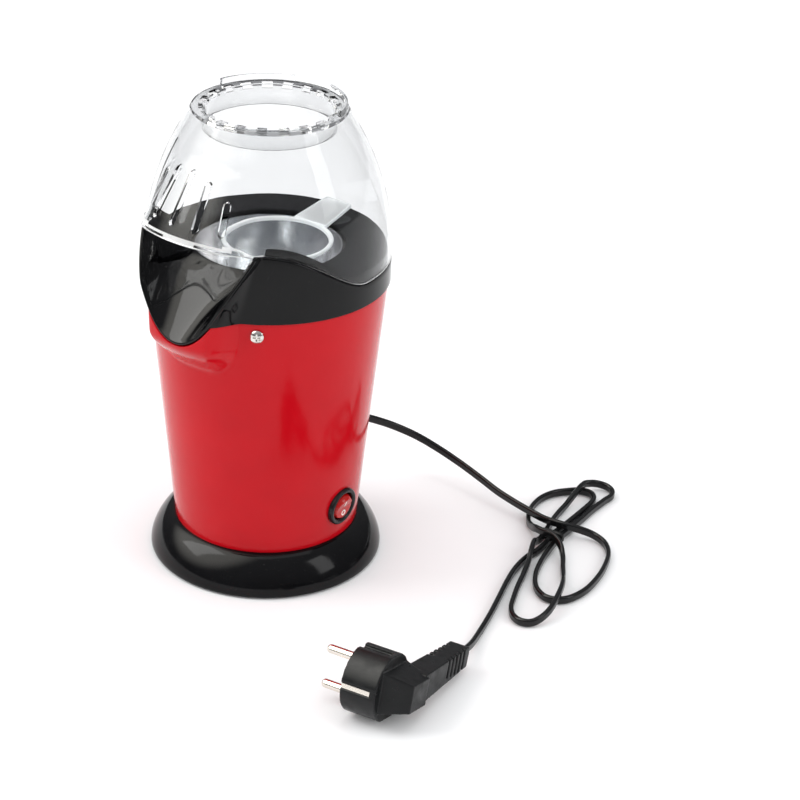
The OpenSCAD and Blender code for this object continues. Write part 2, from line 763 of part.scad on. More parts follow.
module switch_housing() {
  color("#0c0c0c")
  switch_place() difference() {
    union() {
      translate([0, 0, -1]) cylinder(r1 = bezel_r, r2 = bezel_r, h = 2);
      translate([0, 0, 1 - eps]) cylinder(r1 = bezel_r, r2 = bezel_r - 0.9, h = 0.9);
      translate([0, 0, -16]) cylinder(r = barrel_r, h = 16);
    }
    translate([0, 0, -10]) cylinder(r = 8.1, h = 20);
    for (x = [-5, 0, 5]) translate([-2.5, x - 0.5, -17]) cube([5, 1, 8]);
    translate([-trunnion_end - 0.2, 0, rocker_pivot]) rotate([0, 90, 0])
      cylinder(r = trunnion_r + bush_gap, h = 2 * trunnion_end + 0.4, $fn = small);
  }
}

module switch_rocker() {
  color("#d21b24")
  switch_place() intersection() {
    translate([0, 0, rocker_pivot]) rotate([8, 0, 0]) translate([0, 0, -rocker_pivot]) difference() {
      translate([0, 0, -5.4]) cylinder(r = 7.7, h = 8);
      for (side = [-1, 1]) rotate([side * 9, 0, 0]) translate([-10, side > 0 ? 0 : -12, 1.9])
        cube([20, 12, 8]);
    }
    translate([0, 0, rocker_pivot]) sphere(r = 7.95);
  }
  color("#d21b24")
  switch_place() translate([-trunnion_end, 0, rocker_pivot]) rotate([0, 90, 0])
    cylinder(r = trunnion_r, h = 2 * trunnion_end, $fn = small);
}

module switch_terminals() {
  color("#c8a35a")
  switch_place() for (x = [-5, 0, 5]) translate([-2.4, x - 0.4, -24]) cube([4.8, 0.8, 14.5]);
}

// ---- leads and cord ----

// A lead made of straight round runs with ball corners
module lead(points, r) {
  for (i = [0 : len(points) - 2]) {
    d = points[i + 1] - points[i];
    translate(points[i]) rotate([0, acos(d[2] / norm(d)), atan2(d[1], d[0])])
      cylinder(r = r, h = norm(d), $fn = 16);
    if (i > 0) translate(points[i]) sphere(r = r * 1.12, $fn = 16);
  }
}

module power_leads() {
  color("#7a3b22") {
    lead([[1.6, 48.2, 48], [8, 40, 40], [26, 20, 36], [30, 5.6, 39.8]], 1);
    lead([[30, -4.4, 39.8], [27, -24, 48], [4, -38, 60], [0, -38, 80], [0, -38, 100]], 1);
  }
  color("#2d4a80")
    lead([[-1.6, 48.2, 48], [-10, 42, 38], [-28, 24, 30], [-24, 12, 25], [-24, 4, 25]], 1);
  color("#c9b037")
    lead([[-24, -4, 25], [-24, -12, 25], [-26, -14, 34], [-26, 26, 46], [-4, 38, 60], [0, 38, 80],
      [0, 38, 132], [0, 12, 134.5]], 1);
}

module crimp_caps() {
  color("#e8e4d8")
  translate([-24, -7.6, 25]) rotate([-90, 0, 0]) difference() {
    cylinder(r = 3, h = 15.2, $fn = small);
    translate([0, 0, -1]) cylinder(r = 1.1, h = 20, $fn = small);
  }
}

module cord_gland() {
  color("#141414")
  translate([0, 0, gland_z]) rotate([-90, 0, 0]) difference() {
    union() {
      translate([0, 0, gland_y - 5.1]) cylinder(r = 5.6, h = 2, $fn = small);
      translate([0, 0, gland_y - 4]) cylinder(r = 3.9, h = 6, $fn = small);
      translate([0, 0, gland_y + 0.7]) cylinder(r = 5.6, h = 2, $fn = small);
      translate([0, 0, gland_y + 2]) cylinder(r1 = 4.9, r2 = 3.4, h = gland_end_y - gland_y - 2, $fn = small);
    }
    for (y = [60 : 3.4 : 72]) translate([0, 0, y]) difference() {
      cylinder(r = 8, h = 1.3);
      translate([0, 0, -1]) cylinder(r = 2.9, h = 4, $fn = small);
      translate([-8, -0.9, -1]) cube([16, 1.8, 4]);
    }
  }
}

cord_sides = 8;

// Ring of points round the cord at route point i, its width upright
function cord_ring(i) =
  let (last = len(cord_route) - 1,
       dir = unit3(cord_route[min(i + 1, last)] - cord_route[max(i - 1, 0)]),
       side = unit3(cross([0, 0, 1], dir)),
       up = cross(dir, side))
  [for (k = [0 : cord_sides - 1])
    let (a = (k + 0.5) * 360 / cord_sides)
    cord_route[i] + side * cord_t / 2 * cos(a) / cos(180 / cord_sides)
      + up * cord_w / 2 * sin(a) / cos(180 / cord_sides) * 0.98];

module mains_cord() {
  rings = len(cord_route);
  points = [for (i = [0 : rings - 1]) each cord_ring(i)];
  sides = [for (i = [0 : rings - 2]) for (k = [0 : cord_sides - 1])
    let (a = i * cord_sides + k, b = i * cord_sides + (k + 1) % cord_sides)
    each [[a, a + cord_sides, b], [b, a + cord_sides, b + cord_sides]]];
  ends = [[for (k = [0 : cord_sides - 1]) k],
          [for (k = [cord_sides - 1 : -1 : 0]) (rings - 1) * cord_sides + k]];
  color("#1b1b1b") polyhedron(points = points, faces = concat(sides, ends));
}

module cord_tie() {
  color("#0e0e0e")
  translate([130, 104, 0]) rotate([90, 0, 6]) translate([0, 0, -1.5]) difference() {
    translate([-7.9, 0.1]) cube([15.8, 7.2, 3]);
    translate([-7, 1, -1]) cube([14, 5.4, 5]);
  }
}

// ---- plug ----

module plug_place() {
  translate(plug_at) rotate(plug_turn) children();
}

module plug_body() {
  color("#161616")
  plug_place() difference() {
    union() {
      intersection() {
        rotate([0, -90, 0]) cylinder(r = plug_r, h = 20);
        translate([-20, -17.9, -17.2]) cube([20, 35.8, 34.4]);
      }
      hull() {
        translate([-21, -14, -11]) cube([1.5, 26, 22]);
        translate([-35, -12, -8]) cube([4, 18, 15]);
      }
      hull() {
        translate([-34, -14, -6.5]) cube([14, 4, 15]);
        translate([-35, -58, 1]) cube([11.5, 2, 11]);
      }
    }
    for (y = [-36 : -4.2 : -54], x = [-37, -25.2]) translate([x, y, 0]) cube([3.8, 1.6, 14]);
    for (z = [-17.8, 15.4]) translate([-17, -2.8, z]) cube([18, 5.6, 2.4]);
    for (side = [-1, 1]) translate([-17, side > 0 ? 17.1 : -18.1, -1.7]) cube([18, 1, 3.4]);
    for (side = [-1, 1]) translate([-6, 0, side * pin_gap / 2]) rotate([0, 90, 0])
      cylinder(r = pin_root_r, h = 8);
    translate([-8, -8, 0]) rotate([0, 90, 0]) cylinder(r = 2.6, h = 10, $fn = small);
  }
}

module plug_pins() {
  color("#cfd2d4")
  plug_place() for (side = [-1, 1]) translate([-6, 0, side * pin_gap / 2]) rotate([0, 90, 0]) {
    cylinder(r = pin_root_r, h = 8);
    translate([0, 0, 6 + pin_root_h]) cylinder(r = pin_r, h = pin_length - pin_r - pin_root_h);
    translate([0, 0, 6 + pin_length - pin_r]) sphere(r = pin_r);
  }
}

module earth_contacts() {
  color("#b9bcc0")
  plug_place() for (side = [-1, 1]) translate([-16.5, side > 0 ? 17.1 : -17.7, -1.2]) cube([16, 0.6, 2.4]);
}

base_skirt();
base_plate();
rubber_feet();
base_screws();
body_shell();
chute_housing();
housing_screws();
chamber_seal();
popping_chamber();
measuring_cup();
dome_cover();
inner_duct();
duct_screws();
motor_plate();
motor_screws();
heater_frame();
heater_coil();
thermostat();
thermal_fuse();
motor_can();
motor_end_cap();
motor_magnets();
upper_bush();
lower_bush();
motor_shaft();
armature_core();
armature_windings();
commutator();
brushes();
fan_impeller();
rectifier_board();
rectifier_diodes();
switch_housing();
switch_rocker();
switch_terminals();
power_leads();
crimp_caps();
cord_gland();
mains_cord();
cord_tie();
plug_body();
plug_pins();
earth_contacts();
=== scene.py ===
import json
import math
import bmesh
import bpy
import numpy as np
from mathutils import Matrix, Vector


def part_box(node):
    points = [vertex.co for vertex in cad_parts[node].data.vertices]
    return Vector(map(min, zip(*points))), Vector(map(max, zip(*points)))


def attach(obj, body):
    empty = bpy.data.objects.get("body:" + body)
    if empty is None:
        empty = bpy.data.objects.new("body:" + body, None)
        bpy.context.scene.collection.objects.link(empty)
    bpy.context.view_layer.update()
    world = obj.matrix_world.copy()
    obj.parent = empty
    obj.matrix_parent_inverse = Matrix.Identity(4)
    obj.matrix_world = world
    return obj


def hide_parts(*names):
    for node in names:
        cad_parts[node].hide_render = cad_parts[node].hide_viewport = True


MM = 0.001
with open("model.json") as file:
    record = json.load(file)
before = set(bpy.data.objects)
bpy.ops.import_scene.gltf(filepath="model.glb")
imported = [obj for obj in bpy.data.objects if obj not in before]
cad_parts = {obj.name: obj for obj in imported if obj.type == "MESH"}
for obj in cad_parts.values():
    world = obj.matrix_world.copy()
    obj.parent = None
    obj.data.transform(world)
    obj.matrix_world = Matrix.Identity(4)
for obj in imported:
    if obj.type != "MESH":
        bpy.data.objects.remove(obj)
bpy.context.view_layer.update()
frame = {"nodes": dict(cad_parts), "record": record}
NODES = frame["nodes"]

# ------------------------------------------------------------------ camera and cord

cam_data = bpy.data.cameras.new("view")
cam = bpy.data.objects.new("view", cam_data)
bpy.context.scene.collection.objects.link(cam)
right = Vector((0.80364582, 0.59410899, 0.03446586))
up = Vector((-0.30318603, 0.35890571, 0.88275983))
back = Vector((0.51208556, -0.71987582, 0.46855862))
turn = Matrix((right, up, back)).transposed().to_4x4()
cam.matrix_world = Matrix.Translation((0.67776, -0.83696, 0.65325)) @ turn
cam_data.sensor_width = 36
cam_data.lens = 97.38
cam_data.shift_x = 0.017
cam_data.shift_y = 0.0199
cam_data.clip_end = 20
bpy.context.scene.camera = cam

CORD_W = 4.8
CORD_T = 2.8
CORD_ROUTE = [
    (0, 75, 48), (0.5, 84, 46.5), (4, 95, 41), (11, 107, 34), (22, 117, 26.5),
    (36, 122, 20), (52, 123.5, 14.5), (68, 121.5, 11), (82, 118.5, 8.8), (95, 116, 7.8),
    (107, 113.5, 7.6), (120, 111, 7.7), (132, 112, 7.8), (141, 116.5, 6), (149, 120, 3.5),
    (158, 117.5, 2.5), (166, 108.5, 2.5), (171.5, 95, 2.5), (175, 80, 2.5),
    (176, 65, 2.5), (172.5, 52, 2.5), (164, 46.5, 2.5), (154, 51, 2.5),
    (146, 62, 2.5), (140.5, 76, 2.5), (137, 90, 2.8), (135, 104, 3.7),
    (134, 118, 3), (133, 132, 2.5), (132, 146, 2.5), (132, 159.5, 2.5),
    (132.3, 167.5, 2.5), (129.4, 172.8, 2.6), (124.3, 174.8, 3), (119.2, 172.8, 4), (116.3, 167.5, 5.6),
    (116.2, 159.8, 7.7),
    (117, 149, 6.2), (117.3, 139, 3), (118.7, 128, 2.5), (121.6, 116, 2.8),
    (125, 105, 3.7), (126.6, 97, 3.2), (127.5, 91, 4.7), (129.5, 85, 7.5),
    (133, 77, 7.7), (136.7, 68.5, 4.7), (140.3, 58, 2.5),
    (145, 45, 2.5), (150.5, 32, 2.5), (154, 25, 2.5), (159, 19.5, 2.5), (165, 17.5, 2.5),
    (170.5, 20.3, 2.6), (173.3, 26.8, 4), (173.4, 36, 6), (170, 49, 7.9), (165.5, 59.5, 6.6),
    (159.5, 70, 3.6), (153, 80, 2.5), (147.5, 88.5, 3.4), (141.5, 94.5, 6.4),
    (135, 96.8, 8.7), (128.5, 97, 8.6), (122.5, 99, 7.6), (116.7, 103.5, 4.6),
    (110.5, 109.5, 2.5), (105.5, 117, 2.5), (102, 127, 2.5), (101, 138, 2.5),
    (103.5, 148, 2.5), (109, 155.7, 2.5), (113.8, 160.5, 2.5), (119.5, 162.2, 2.5),
    (124.4, 159.8, 2.5), (127.1, 154, 2.5), (128, 144, 2.5), (128.6, 131, 2.5),
    (129.4, 117, 3), (130.2, 105, 3.7), (131.7, 95, 2.9), (132, 85, 2.5),
    (131.4, 74, 2.5), (133, 61, 2.5), (137, 46.5, 2.5), (143, 29, 2.5),
    (149, 11, 2.5), (154.3, -7, 2.8), (158.7, -21, 4.9), (161.35, -32.85, 7.83),
    (161.94, -37.34, 9.08),
]


# ------------------------------------------------------------------ mesh helpers

def lerp(a, b, t):
    return a + (b - a) * t


def clamp01(t):
    return min(1.0, max(0.0, t))


def smooth01(t):
    c = clamp01(t)
    return c * c * (3 - 2 * c)


def polar(a, r, z):
    """Point at angle a (degrees) from the chute's direction, in millimetres."""
    return (r * math.sin(math.radians(a)), -r * math.cos(math.radians(a)), z)


def smooth_line(points, per=6):
    """Catmull-Rom curve through the points."""
    pts = [Vector(p) for p in points]
    ext = [pts[0] * 2 - pts[1]] + pts + [pts[-1] * 2 - pts[-2]]
    out = []
    for i in range(1, len(ext) - 2):
        p0, p1, p2, p3 = ext[i - 1:i + 3]
        for k in range(per):
            t = k / per
            out.append(0.5 * ((2 * p1) + (p2 - p0) * t + (2 * p0 - 5 * p1 + 4 * p2 - p3) * t * t
                              + (3 * p1 - p0 - 3 * p2 + p3) * t ** 3))
    out.append(pts[-1])
    return out


class Shape:
    """Collects vertices (millimetres) and faces with material indices."""

    def __init__(self):
        self.verts, self.faces, self.mats = [], [], []

    def add(self, verts, faces, mat=0):
        n = len(self.verts)
        self.verts += [tuple(v) for v in verts]
        self.faces += [tuple(n + i for i in f) for f in faces]
        self.mats += [mat] * len(faces)

    def grid(self, rows, close_rows=False, close_cols=False, mat=0, flip=False, caps=False):
        nr, nc = len(rows), len(rows[0])
        faces = []
        for i in range(nr if close_rows else nr - 1):
            for j in range(nc if close_cols else nc - 1):
                a, b = i * nc + j, i * nc + (j + 1) % nc
                c, d = ((i + 1) % nr) * nc + (j + 1) % nc, ((i + 1) % nr) * nc + j
                faces.append((a, d, c, b) if flip else (a, b, c, d))
        if caps:
            for j in (0, nc - 1):
                ring = [i * nc + j for i in range(nr)]
                faces.append(tuple(ring if (j == 0) != flip else ring[::-1]))
        self.add([p for r in rows for p in r], faces, mat)

    def lathe(self, profile, n=128, mat=0, place=None):
        """Closed ring solid from a closed (r, z) loop."""
        rows = [[(r * math.cos(2 * math.pi * k / n), r * math.sin(2 * math.pi * k / n), z)
                 for k in range(n)] for r, z in profile]
        if place:
            rows = [[place(*p) for p in row] for row in rows]
        self.grid(rows, True, True, mat)

    def box(self, lo, hi, mat=0, place=None):
        v = [(x, y, z) for z in (lo[2], hi[2]) for y in (lo[1], hi[1]) for x in (lo[0], hi[0])]
        if place:
            v = [place(*p) for p in v]
        self.add(v, [(0, 2, 3, 1), (4, 5, 7, 6), (0, 1, 5, 4), (2, 6, 7, 3), (0, 4, 6, 2), (1, 3, 7, 5)], mat)

    def prism(self, outline, z0, z1, mat=0, place=None):
        n = len(outline)
        v = [(x, y, z0) for x, y in outline] + [(x, y, z1) for x, y in outline]
        if place:
            v = [place(*p) for p in v]
        f = [tuple(range(n))[::-1], tuple(range(n, 2 * n))]
        f += [(i, (i + 1) % n, n + (i + 1) % n, n + i) for i in range(n)]
        self.add(v, f, mat)

    def tube(self, path, section, frame_of, mat=0):
        rows = []
        for i, p in enumerate(path):
            side, upv = frame_of(i)
            rows.append([p + side * x + upv * y for x, y in section])
        n = len(section)
        self.grid(rows, False, True, mat)
        base = len(self.verts) - len(path) * n
        self.faces += [tuple(base + k for k in range(n)),
                       tuple(base + (len(path) - 1) * n + k for k in range(n))[::-1]]
        self.mats += [mat, mat]

    def build(self, name, materials, angle=35, fix=True):
        mesh = bpy.data.meshes.new(name)
        mesh.from_pydata([tuple(c * MM for c in v) for v in self.verts], [], self.faces)
        mesh.polygons.foreach_set("material_index", self.mats)
        obj = bpy.data.objects.new(name, mesh)
        bpy.context.scene.collection.objects.link(obj)
        for m in materials:
            mesh.materials.append(m)
        if fix:
            bm = bmesh.new()
            bm.from_mesh(mesh)
            bmesh.ops.remove_doubles(bm, verts=bm.verts, dist=1e-7)
            bmesh.ops.recalc_face_normals(bm, faces=bm.faces)
            bm.to_mesh(mesh)
            bm.free()
        mesh.shade_smooth()
        mesh.set_sharp_from_angle(angle=math.radians(angle))
        return obj


def applied(obj, angle=35):
    """Bakes an object's modifiers into its mesh."""
    dg = bpy.context.evaluated_depsgraph_get()
    dg.update()
    mesh = bpy.data.meshes.new_from_object(obj.evaluated_get(dg))
    obj.modifiers.clear()
    obj.data = mesh
    mesh.shade_smooth()
    mesh.set_sharp_from_angle(angle=math.radians(angle))
    return obj


def cut(obj, cutter):
    mod = obj.modifiers.new("cut", "BOOLEAN")
    mod.operation = "DIFFERENCE"
    mod.solver = "EXACT"
    mod.object = cutter
    applied(obj)
    bpy.data.objects.remove(cutter)
    return obj


# ------------------------------------------------------------------ materials

def plastic(name, color, rough, ior=1.4, bump=0.15, grain=900, vary=0.12, metallic=0.0,
            streak=None, rough_vary=0.35, coat=0.0, wear=0.0):
    """Principled surface with colour variation, uneven gloss, fine grain and faint wear."""
    mat = bpy.data.materials.new(name)
    mat.use_nodes = True
    nt = mat.node_tree
    bs = nt.nodes["Principled BSDF"]
    bs.inputs["IOR"].default_value = ior
    bs.inputs["Metallic"].default_value = metallic
    bs.inputs["Coat Weight"].default_value = coat
    bs.inputs["Coat Roughness"].default_value = 0.05
    coord = nt.nodes.new("ShaderNodeTexCoord")
    warp = nt.nodes.new("ShaderNodeMapping")
    if streak:
        warp.inputs["Scale"].default_value = streak
    nt.links.new(coord.outputs["Object"], warp.inputs["Vector"])
    cloud = nt.nodes.new("ShaderNodeTexNoise")
    cloud.inputs["Scale"].default_value = 45
    cloud.inputs["Detail"].default_value = 4
    nt.links.new(warp.outputs["Vector"], cloud.inputs["Vector"])
    ramp = nt.nodes.new("ShaderNodeValToRGB")
    lo = [c * (1 - vary) for c in color]
    hi = [min(1, c * (1 + vary) + 0.004 * vary) for c in color]
    ramp.color_ramp.elements[0].position = 0.3
    ramp.color_ramp.elements[0].color = (*lo, 1)
    ramp.color_ramp.elements[1].position = 0.7
    ramp.color_ramp.elements[1].color = (*hi, 1)
    nt.links.new(cloud.outputs["Fac"], ramp.inputs["Fac"])
    color_out = ramp.outputs["Color"]
    if wear:
        fleck = nt.nodes.new("ShaderNodeTexNoise")
        fleck.inputs["Scale"].default_value = 1400
        fleck.inputs["Detail"].default_value = 2
        nt.links.new(coord.outputs["Object"], fleck.inputs["Vector"])
        pick = nt.nodes.new("ShaderNodeValToRGB")
        pick.color_ramp.elements[0].position = 0.72
        pick.color_ramp.elements[0].color = (0, 0, 0, 1)
        pick.color_ramp.elements[1].position = 0.76
        pick.color_ramp.elements[1].color = (wear, wear, wear, 1)
        nt.links.new(fleck.outputs["Fac"], pick.inputs["Fac"])
        mix = nt.nodes.new("ShaderNodeMixRGB")
        mix.inputs["Color2"].default_value = (0.5, 0.49, 0.47, 1)
        nt.links.new(pick.outputs["Color"], mix.inputs["Fac"])
        nt.links.new(color_out, mix.inputs["Color1"])
        color_out = mix.outputs["Color"]
    nt.links.new(color_out, bs.inputs["Base Color"])
    span = nt.nodes.new("ShaderNodeMapRange")
    span.inputs["From Min"].default_value = 0.3
    span.inputs["From Max"].default_value = 0.7
    span.inputs["To Min"].default_value = rough * (1 - rough_vary)
    span.inputs["To Max"].default_value = rough * (1 + rough_vary)
    smear = nt.nodes.new("ShaderNodeTexNoise")
    smear.inputs["Scale"].default_value = 130
    smear.inputs["Detail"].default_value = 5
    nt.links.new(warp.outputs["Vector"], smear.inputs["Vector"])
    nt.links.new(smear.outputs["Fac"], span.inputs["Value"])
    nt.links.new(span.outputs["Result"], bs.inputs["Roughness"])
    peel = nt.nodes.new("ShaderNodeTexNoise")
    peel.inputs["Scale"].default_value = grain
    peel.inputs["Detail"].default_value = 2
    nt.links.new(warp.outputs["Vector"], peel.inputs["Vector"])
    rise = nt.nodes.new("ShaderNodeBump")
    rise.inputs["Strength"].default_value = bump
    rise.inputs["Distance"].default_value = 0.0001
    nt.links.new(peel.outputs["Fac"], rise.inputs["Height"])
    nt.links.new(rise.outputs["Normal"], bs.inputs["Normal"])
    return mat


def clear(name, color, rough, weight=1.0, ior=1.45, bump=0.02, haze=0.12, shade=(0.93, 0.94, 0.95)):
    """Clear moulding: transmission with an uneven gloss that lets the lamps through."""
    mat = bpy.data.materials.new(name)
    mat.use_nodes = True
    nt = mat.node_tree
    bs = nt.nodes["Principled BSDF"]
    out = nt.nodes["Material Output"]
    bs.inputs["Transmission Weight"].default_value = weight
    bs.inputs["IOR"].default_value = ior
    coord = nt.nodes.new("ShaderNodeTexCoord")
    cloud = nt.nodes.new("ShaderNodeTexNoise")
    cloud.inputs["Scale"].default_value = 60
    cloud.inputs["Detail"].default_value = 4
    nt.links.new(coord.outputs["Object"], cloud.inputs["Vector"])
    ramp = nt.nodes.new("ShaderNodeValToRGB")
    ramp.color_ramp.elements[0].position = 0.35
    ramp.color_ramp.elements[0].color = (*[c * 0.985 for c in color], 1)
    ramp.color_ramp.elements[1].position = 0.7
    ramp.color_ramp.elements[1].color = (*color, 1)
    nt.links.new(cloud.outputs["Fac"], ramp.inputs["Fac"])
    nt.links.new(ramp.outputs["Color"], bs.inputs["Base Color"])
    span = nt.nodes.new("ShaderNodeMapRange")
    span.inputs["From Min"].default_value = 0.3
    span.inputs["From Max"].default_value = 0.75
    span.inputs["To Min"].default_value = rough
    span.inputs["To Max"].default_value = rough + haze
    nt.links.new(cloud.outputs["Fac"], span.inputs["Value"])
    nt.links.new(span.outputs["Result"], bs.inputs["Roughness"])
    ripple = nt.nodes.new("ShaderNodeTexNoise")
    ripple.inputs["Scale"].default_value = 90
    nt.links.new(coord.outputs["Object"], ripple.inputs["Vector"])
    rise = nt.nodes.new("ShaderNodeBump")
    rise.inputs["Strength"].default_value = bump
    rise.inputs["Distance"].default_value = 0.0005
    nt.links.new(ripple.outputs["Fac"], rise.inputs["Height"])
    nt.links.new(rise.outputs["Normal"], bs.inputs["Normal"])
    see = nt.nodes.new("ShaderNodeBsdfTransparent")
    see.inputs["Color"].default_value = (*shade, 1)
    path = nt.nodes.new("ShaderNodeLightPath")
    mix = nt.nodes.new("ShaderNodeMixShader")
    nt.links.new(path.outputs["Is Shadow Ray"], mix.inputs["Fac"])
    nt.links.new(bs.outputs["BSDF"], mix.inputs[1])
    nt.links.new(see.outputs["BSDF"], mix.inputs[2])
    nt.links.new(mix.outputs["Shader"], out.inputs["Surface"])
    return mat


BRUSH = (1, 1, 0.05)
M = {
    "black_base": plastic("black_base", (0.003, 0.003, 0.0035), 0.11, 1.27, 0.10, 700, 0.25, wear=0.10),
    "dark_plastic": plastic("dark_plastic", (0.03, 0.03, 0.032), 0.45, 1.45, 0.5, 1500, 0.2),
    "foot_rubber": plastic("foot_rubber", (0.03, 0.03, 0.03), 0.75, 1.5, 0.7, 1800, 0.2),
    "screw_steel": plastic("screw_steel", (0.72, 0.70, 0.66), 0.18, 1.5, 0.3, 1500, 0.12, metallic=1.0),
    "red_shell": plastic("red_shell", (0.49, 0.003, 0.0085), 0.13, 1.28, 0.10, 650, 0.035, wear=0.04),
    "black_gloss": plastic("black_gloss", (0.0015, 0.0015, 0.0018), 0.07, 1.3, 0.10, 500, 0.25, wear=0.10),
    "seal_rubber": plastic("seal_rubber", (0.05, 0.05, 0.05), 0.7, 1.5, 0.6, 1500, 0.2),
    "chamber_metal": plastic("chamber_metal", (0.86, 0.86, 0.87), 0.16, 1.5, 0.25, 600, 0.05, 1.0,
                             (1, 1, 0.12)),
    "duct_metal": plastic("duct_metal", (0.55, 0.55, 0.56), 0.35, 1.5, 0.4, 500, 0.15, 1.0),
    "mica_board": plastic("mica_board", (0.62, 0.56, 0.42), 0.6, 1.5, 0.6, 900, 0.15, streak=(1, 1, 6)),
    "heater_wire": plastic("heater_wire", (0.4, 0.38, 0.36), 0.4, 1.5, 0.6, 1800, 0.2, 1.0),
    "ceramic_parts": plastic("ceramic_parts", (0.75, 0.7, 0.6), 0.6, 1.5, 0.5, 1500, 0.1),
    "fuse_metal": plastic("fuse_metal", (0.7, 0.7, 0.7), 0.25, 1.5, 0.3, 1500, 0.1, 1.0),
    "motor_steel": plastic("motor_steel", (0.5, 0.5, 0.51), 0.3, 1.5, 0.4, 800, 0.15, 1.0, BRUSH),
    "pale_plastic": plastic("pale_plastic", (0.78, 0.76, 0.68), 0.5, 1.45, 0.4, 1500, 0.08),
    "magnet_dark": plastic("magnet_dark", (0.07, 0.07, 0.07), 0.6, 1.5, 0.7, 1500, 0.2),
    "bush_brass": plastic("bush_brass", (0.6, 0.43, 0.22), 0.35, 1.5, 0.5, 1800, 0.15, 1.0),
    "shaft_steel": plastic("shaft_steel", (0.62, 0.62, 0.63), 0.2, 1.5, 0.3, 1200, 0.1, 1.0, (1, 1, 8)),
    "copper_wire": plastic("copper_wire", (0.6, 0.28, 0.14), 0.3, 1.5, 0.6, 900, 0.2, 1.0, (1, 1, 7)),
    "brush_carbon": plastic("brush_carbon", (0.06, 0.06, 0.06), 0.6, 1.5, 0.6, 1800, 0.2),
    "board_green": plastic("board_green", (0.06, 0.22, 0.08), 0.4, 1.5, 0.4, 1500, 0.2),
    "diode_black": plastic("diode_black", (0.02, 0.02, 0.02), 0.4, 1.5, 0.5, 1800, 0.2),
    "switch_black": plastic("switch_black", (0.007, 0.007, 0.0075), 0.28, 1.38, 0.3, 1500, 0.2),
    "terminal_brass": plastic("terminal_brass", (0.7, 0.55, 0.3), 0.3, 1.5, 0.4, 1200, 0.1, 1.0),
    "lead_sleeve": plastic("lead_sleeve", (0.3, 0.1, 0.06), 0.5, 1.5, 0.4, 1500, 0.15),
    "cord_black": plastic("cord_black", (0.006, 0.0062, 0.0065), 0.2, 1.38, 0.25, 1300, 0.25, wear=0.04),
    "tie_black": plastic("tie_black", (0.006, 0.006, 0.006), 0.2, 1.4, 0.4, 1500, 0.2),
    "plug_black": plastic("plug_black", (0.006, 0.0065, 0.007), 0.4, 1.34, 0.45, 1600, 0.25, wear=0.06),
    "pin_metal": plastic("pin_metal", (0.78, 0.73, 0.66), 0.17, 1.5, 0.3, 1400, 0.1, 1.0, (1, 1, 6)),
}
PRINT = plastic("print_white", (0.85, 0.83, 0.8), 0.4, 1.45, 0.2, 1500, 0.05)
DOME = clear("dome_clear", (0.895, 0.90, 0.904), 0.0, ior=1.28, haze=0.02)
EDGE = clear("dome_edge", (0.97, 0.97, 0.97), 0.3, weight=0.5, haze=0.1)
CUP = clear("cup_clear", (0.94, 0.95, 0.955), 0.02, haze=0.05, bump=0.05)
CUP_RIM = clear("cup_frost", (0.90, 0.91, 0.91), 0.35, weight=0.55, haze=0.2, bump=0.2)
ROCKER = clear("rocker_red", (0.75, 0.012, 0.010), 0.06, weight=0.5, haze=0.08, shade=(0.8, 0.1, 0.08))
M["dome_plastic"], M["clear_plastic"], M["rocker_red"] = DOME, CUP, ROCKER

slots = {p["node"]: p["material_slot"] for p in frame["record"]["subparts"]}
for name, obj in NODES.items():
    for s in obj.material_slots:
        s.material = M[slots[name]]

# ------------------------------------------------------------------ cord, tie and plug


def stadium(w, t, n=10, waist=0.0):
    """Section of the flat cord, its wide axis along y."""
    pts = []
    r = t / 2
    for k in range(n + 1):
        a = math.pi * k / n
        pts.append((r * math.cos(a), w / 2 - r + r * math.sin(a)))
    pts.append((-(r - waist), 0))
    for k in range(n + 1):
        a = math.pi + math.pi * k / n
        pts.append((r * math.cos(a), -(w / 2 - r) + r * math.sin(a)))
    pts.append((r - waist, 0))
    return pts


cord_line = smooth_line(CORD_ROUTE, 6)
for p in cord_line:
    p.z = max(p.z, CORD_W / 2 + 0.04)


def cord_frame(i):
    d = (cord_line[min(i + 1, len(cord_line) - 1)] - cord_line[max(i - 1, 0)]).normalized()
    side = Vector((0, 0, 1)).cross(d).normalized()
    return side, d.cross(side)


shape = Shape()
shape.tube(cord_line, stadium(CORD_W, CORD_T, waist=0.12), cord_frame)
cord = shape.build("flat_cord", [M["cord_black"]], 60)
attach(cord, "base")
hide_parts("mains_cord")

# A coated wire wound round the bundle
tie_lo, tie_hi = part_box("cord_tie")
tie_c = (tie_lo + tie_hi) / 2 / MM
TIE_R = 0.62
tie_path = []
TIE_TURNS, TIE_STEPS = 3, 40
steps = TIE_STEPS * TIE_TURNS
TIE_TURN = math.radians(6)
for k in range(steps + 1):
    a = 2 * math.pi * k / TIE_STEPS
    x = 7.05 * math.copysign(abs(math.cos(a)) ** 0.55, math.cos(a))
    z = 2.95 * math.copysign(abs(math.sin(a)) ** 0.55, math.sin(a))
    along = lerp(-0.85, 0.85, k / steps)
    tie_path.append(Vector((tie_c[0] + x * math.cos(TIE_TURN) - along * math.sin(TIE_TURN),
                            tie_c[1] + x * math.sin(TIE_TURN) + along * math.cos(TIE_TURN), 3.7 + z)))


def tie_frame(i):
    d = (tie_path[min(i + 1, steps)] - tie_path[max(i - 1, 0)]).normalized()
    side = Vector((-math.sin(TIE_TURN), math.cos(TIE_TURN), 0)).cross(d).normalized()
    return side, d.cross(side)


shape = Shape()
shape.tube(tie_path, [(TIE_R * math.cos(k * math.pi / 5), TIE_R * math.sin(k * math.pi / 5))
                      for k in range(10)], tie_frame)
tie = shape.build("wire_tie", [M["tie_black"]], 60)
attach(tie, "base")
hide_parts("cord_tie")

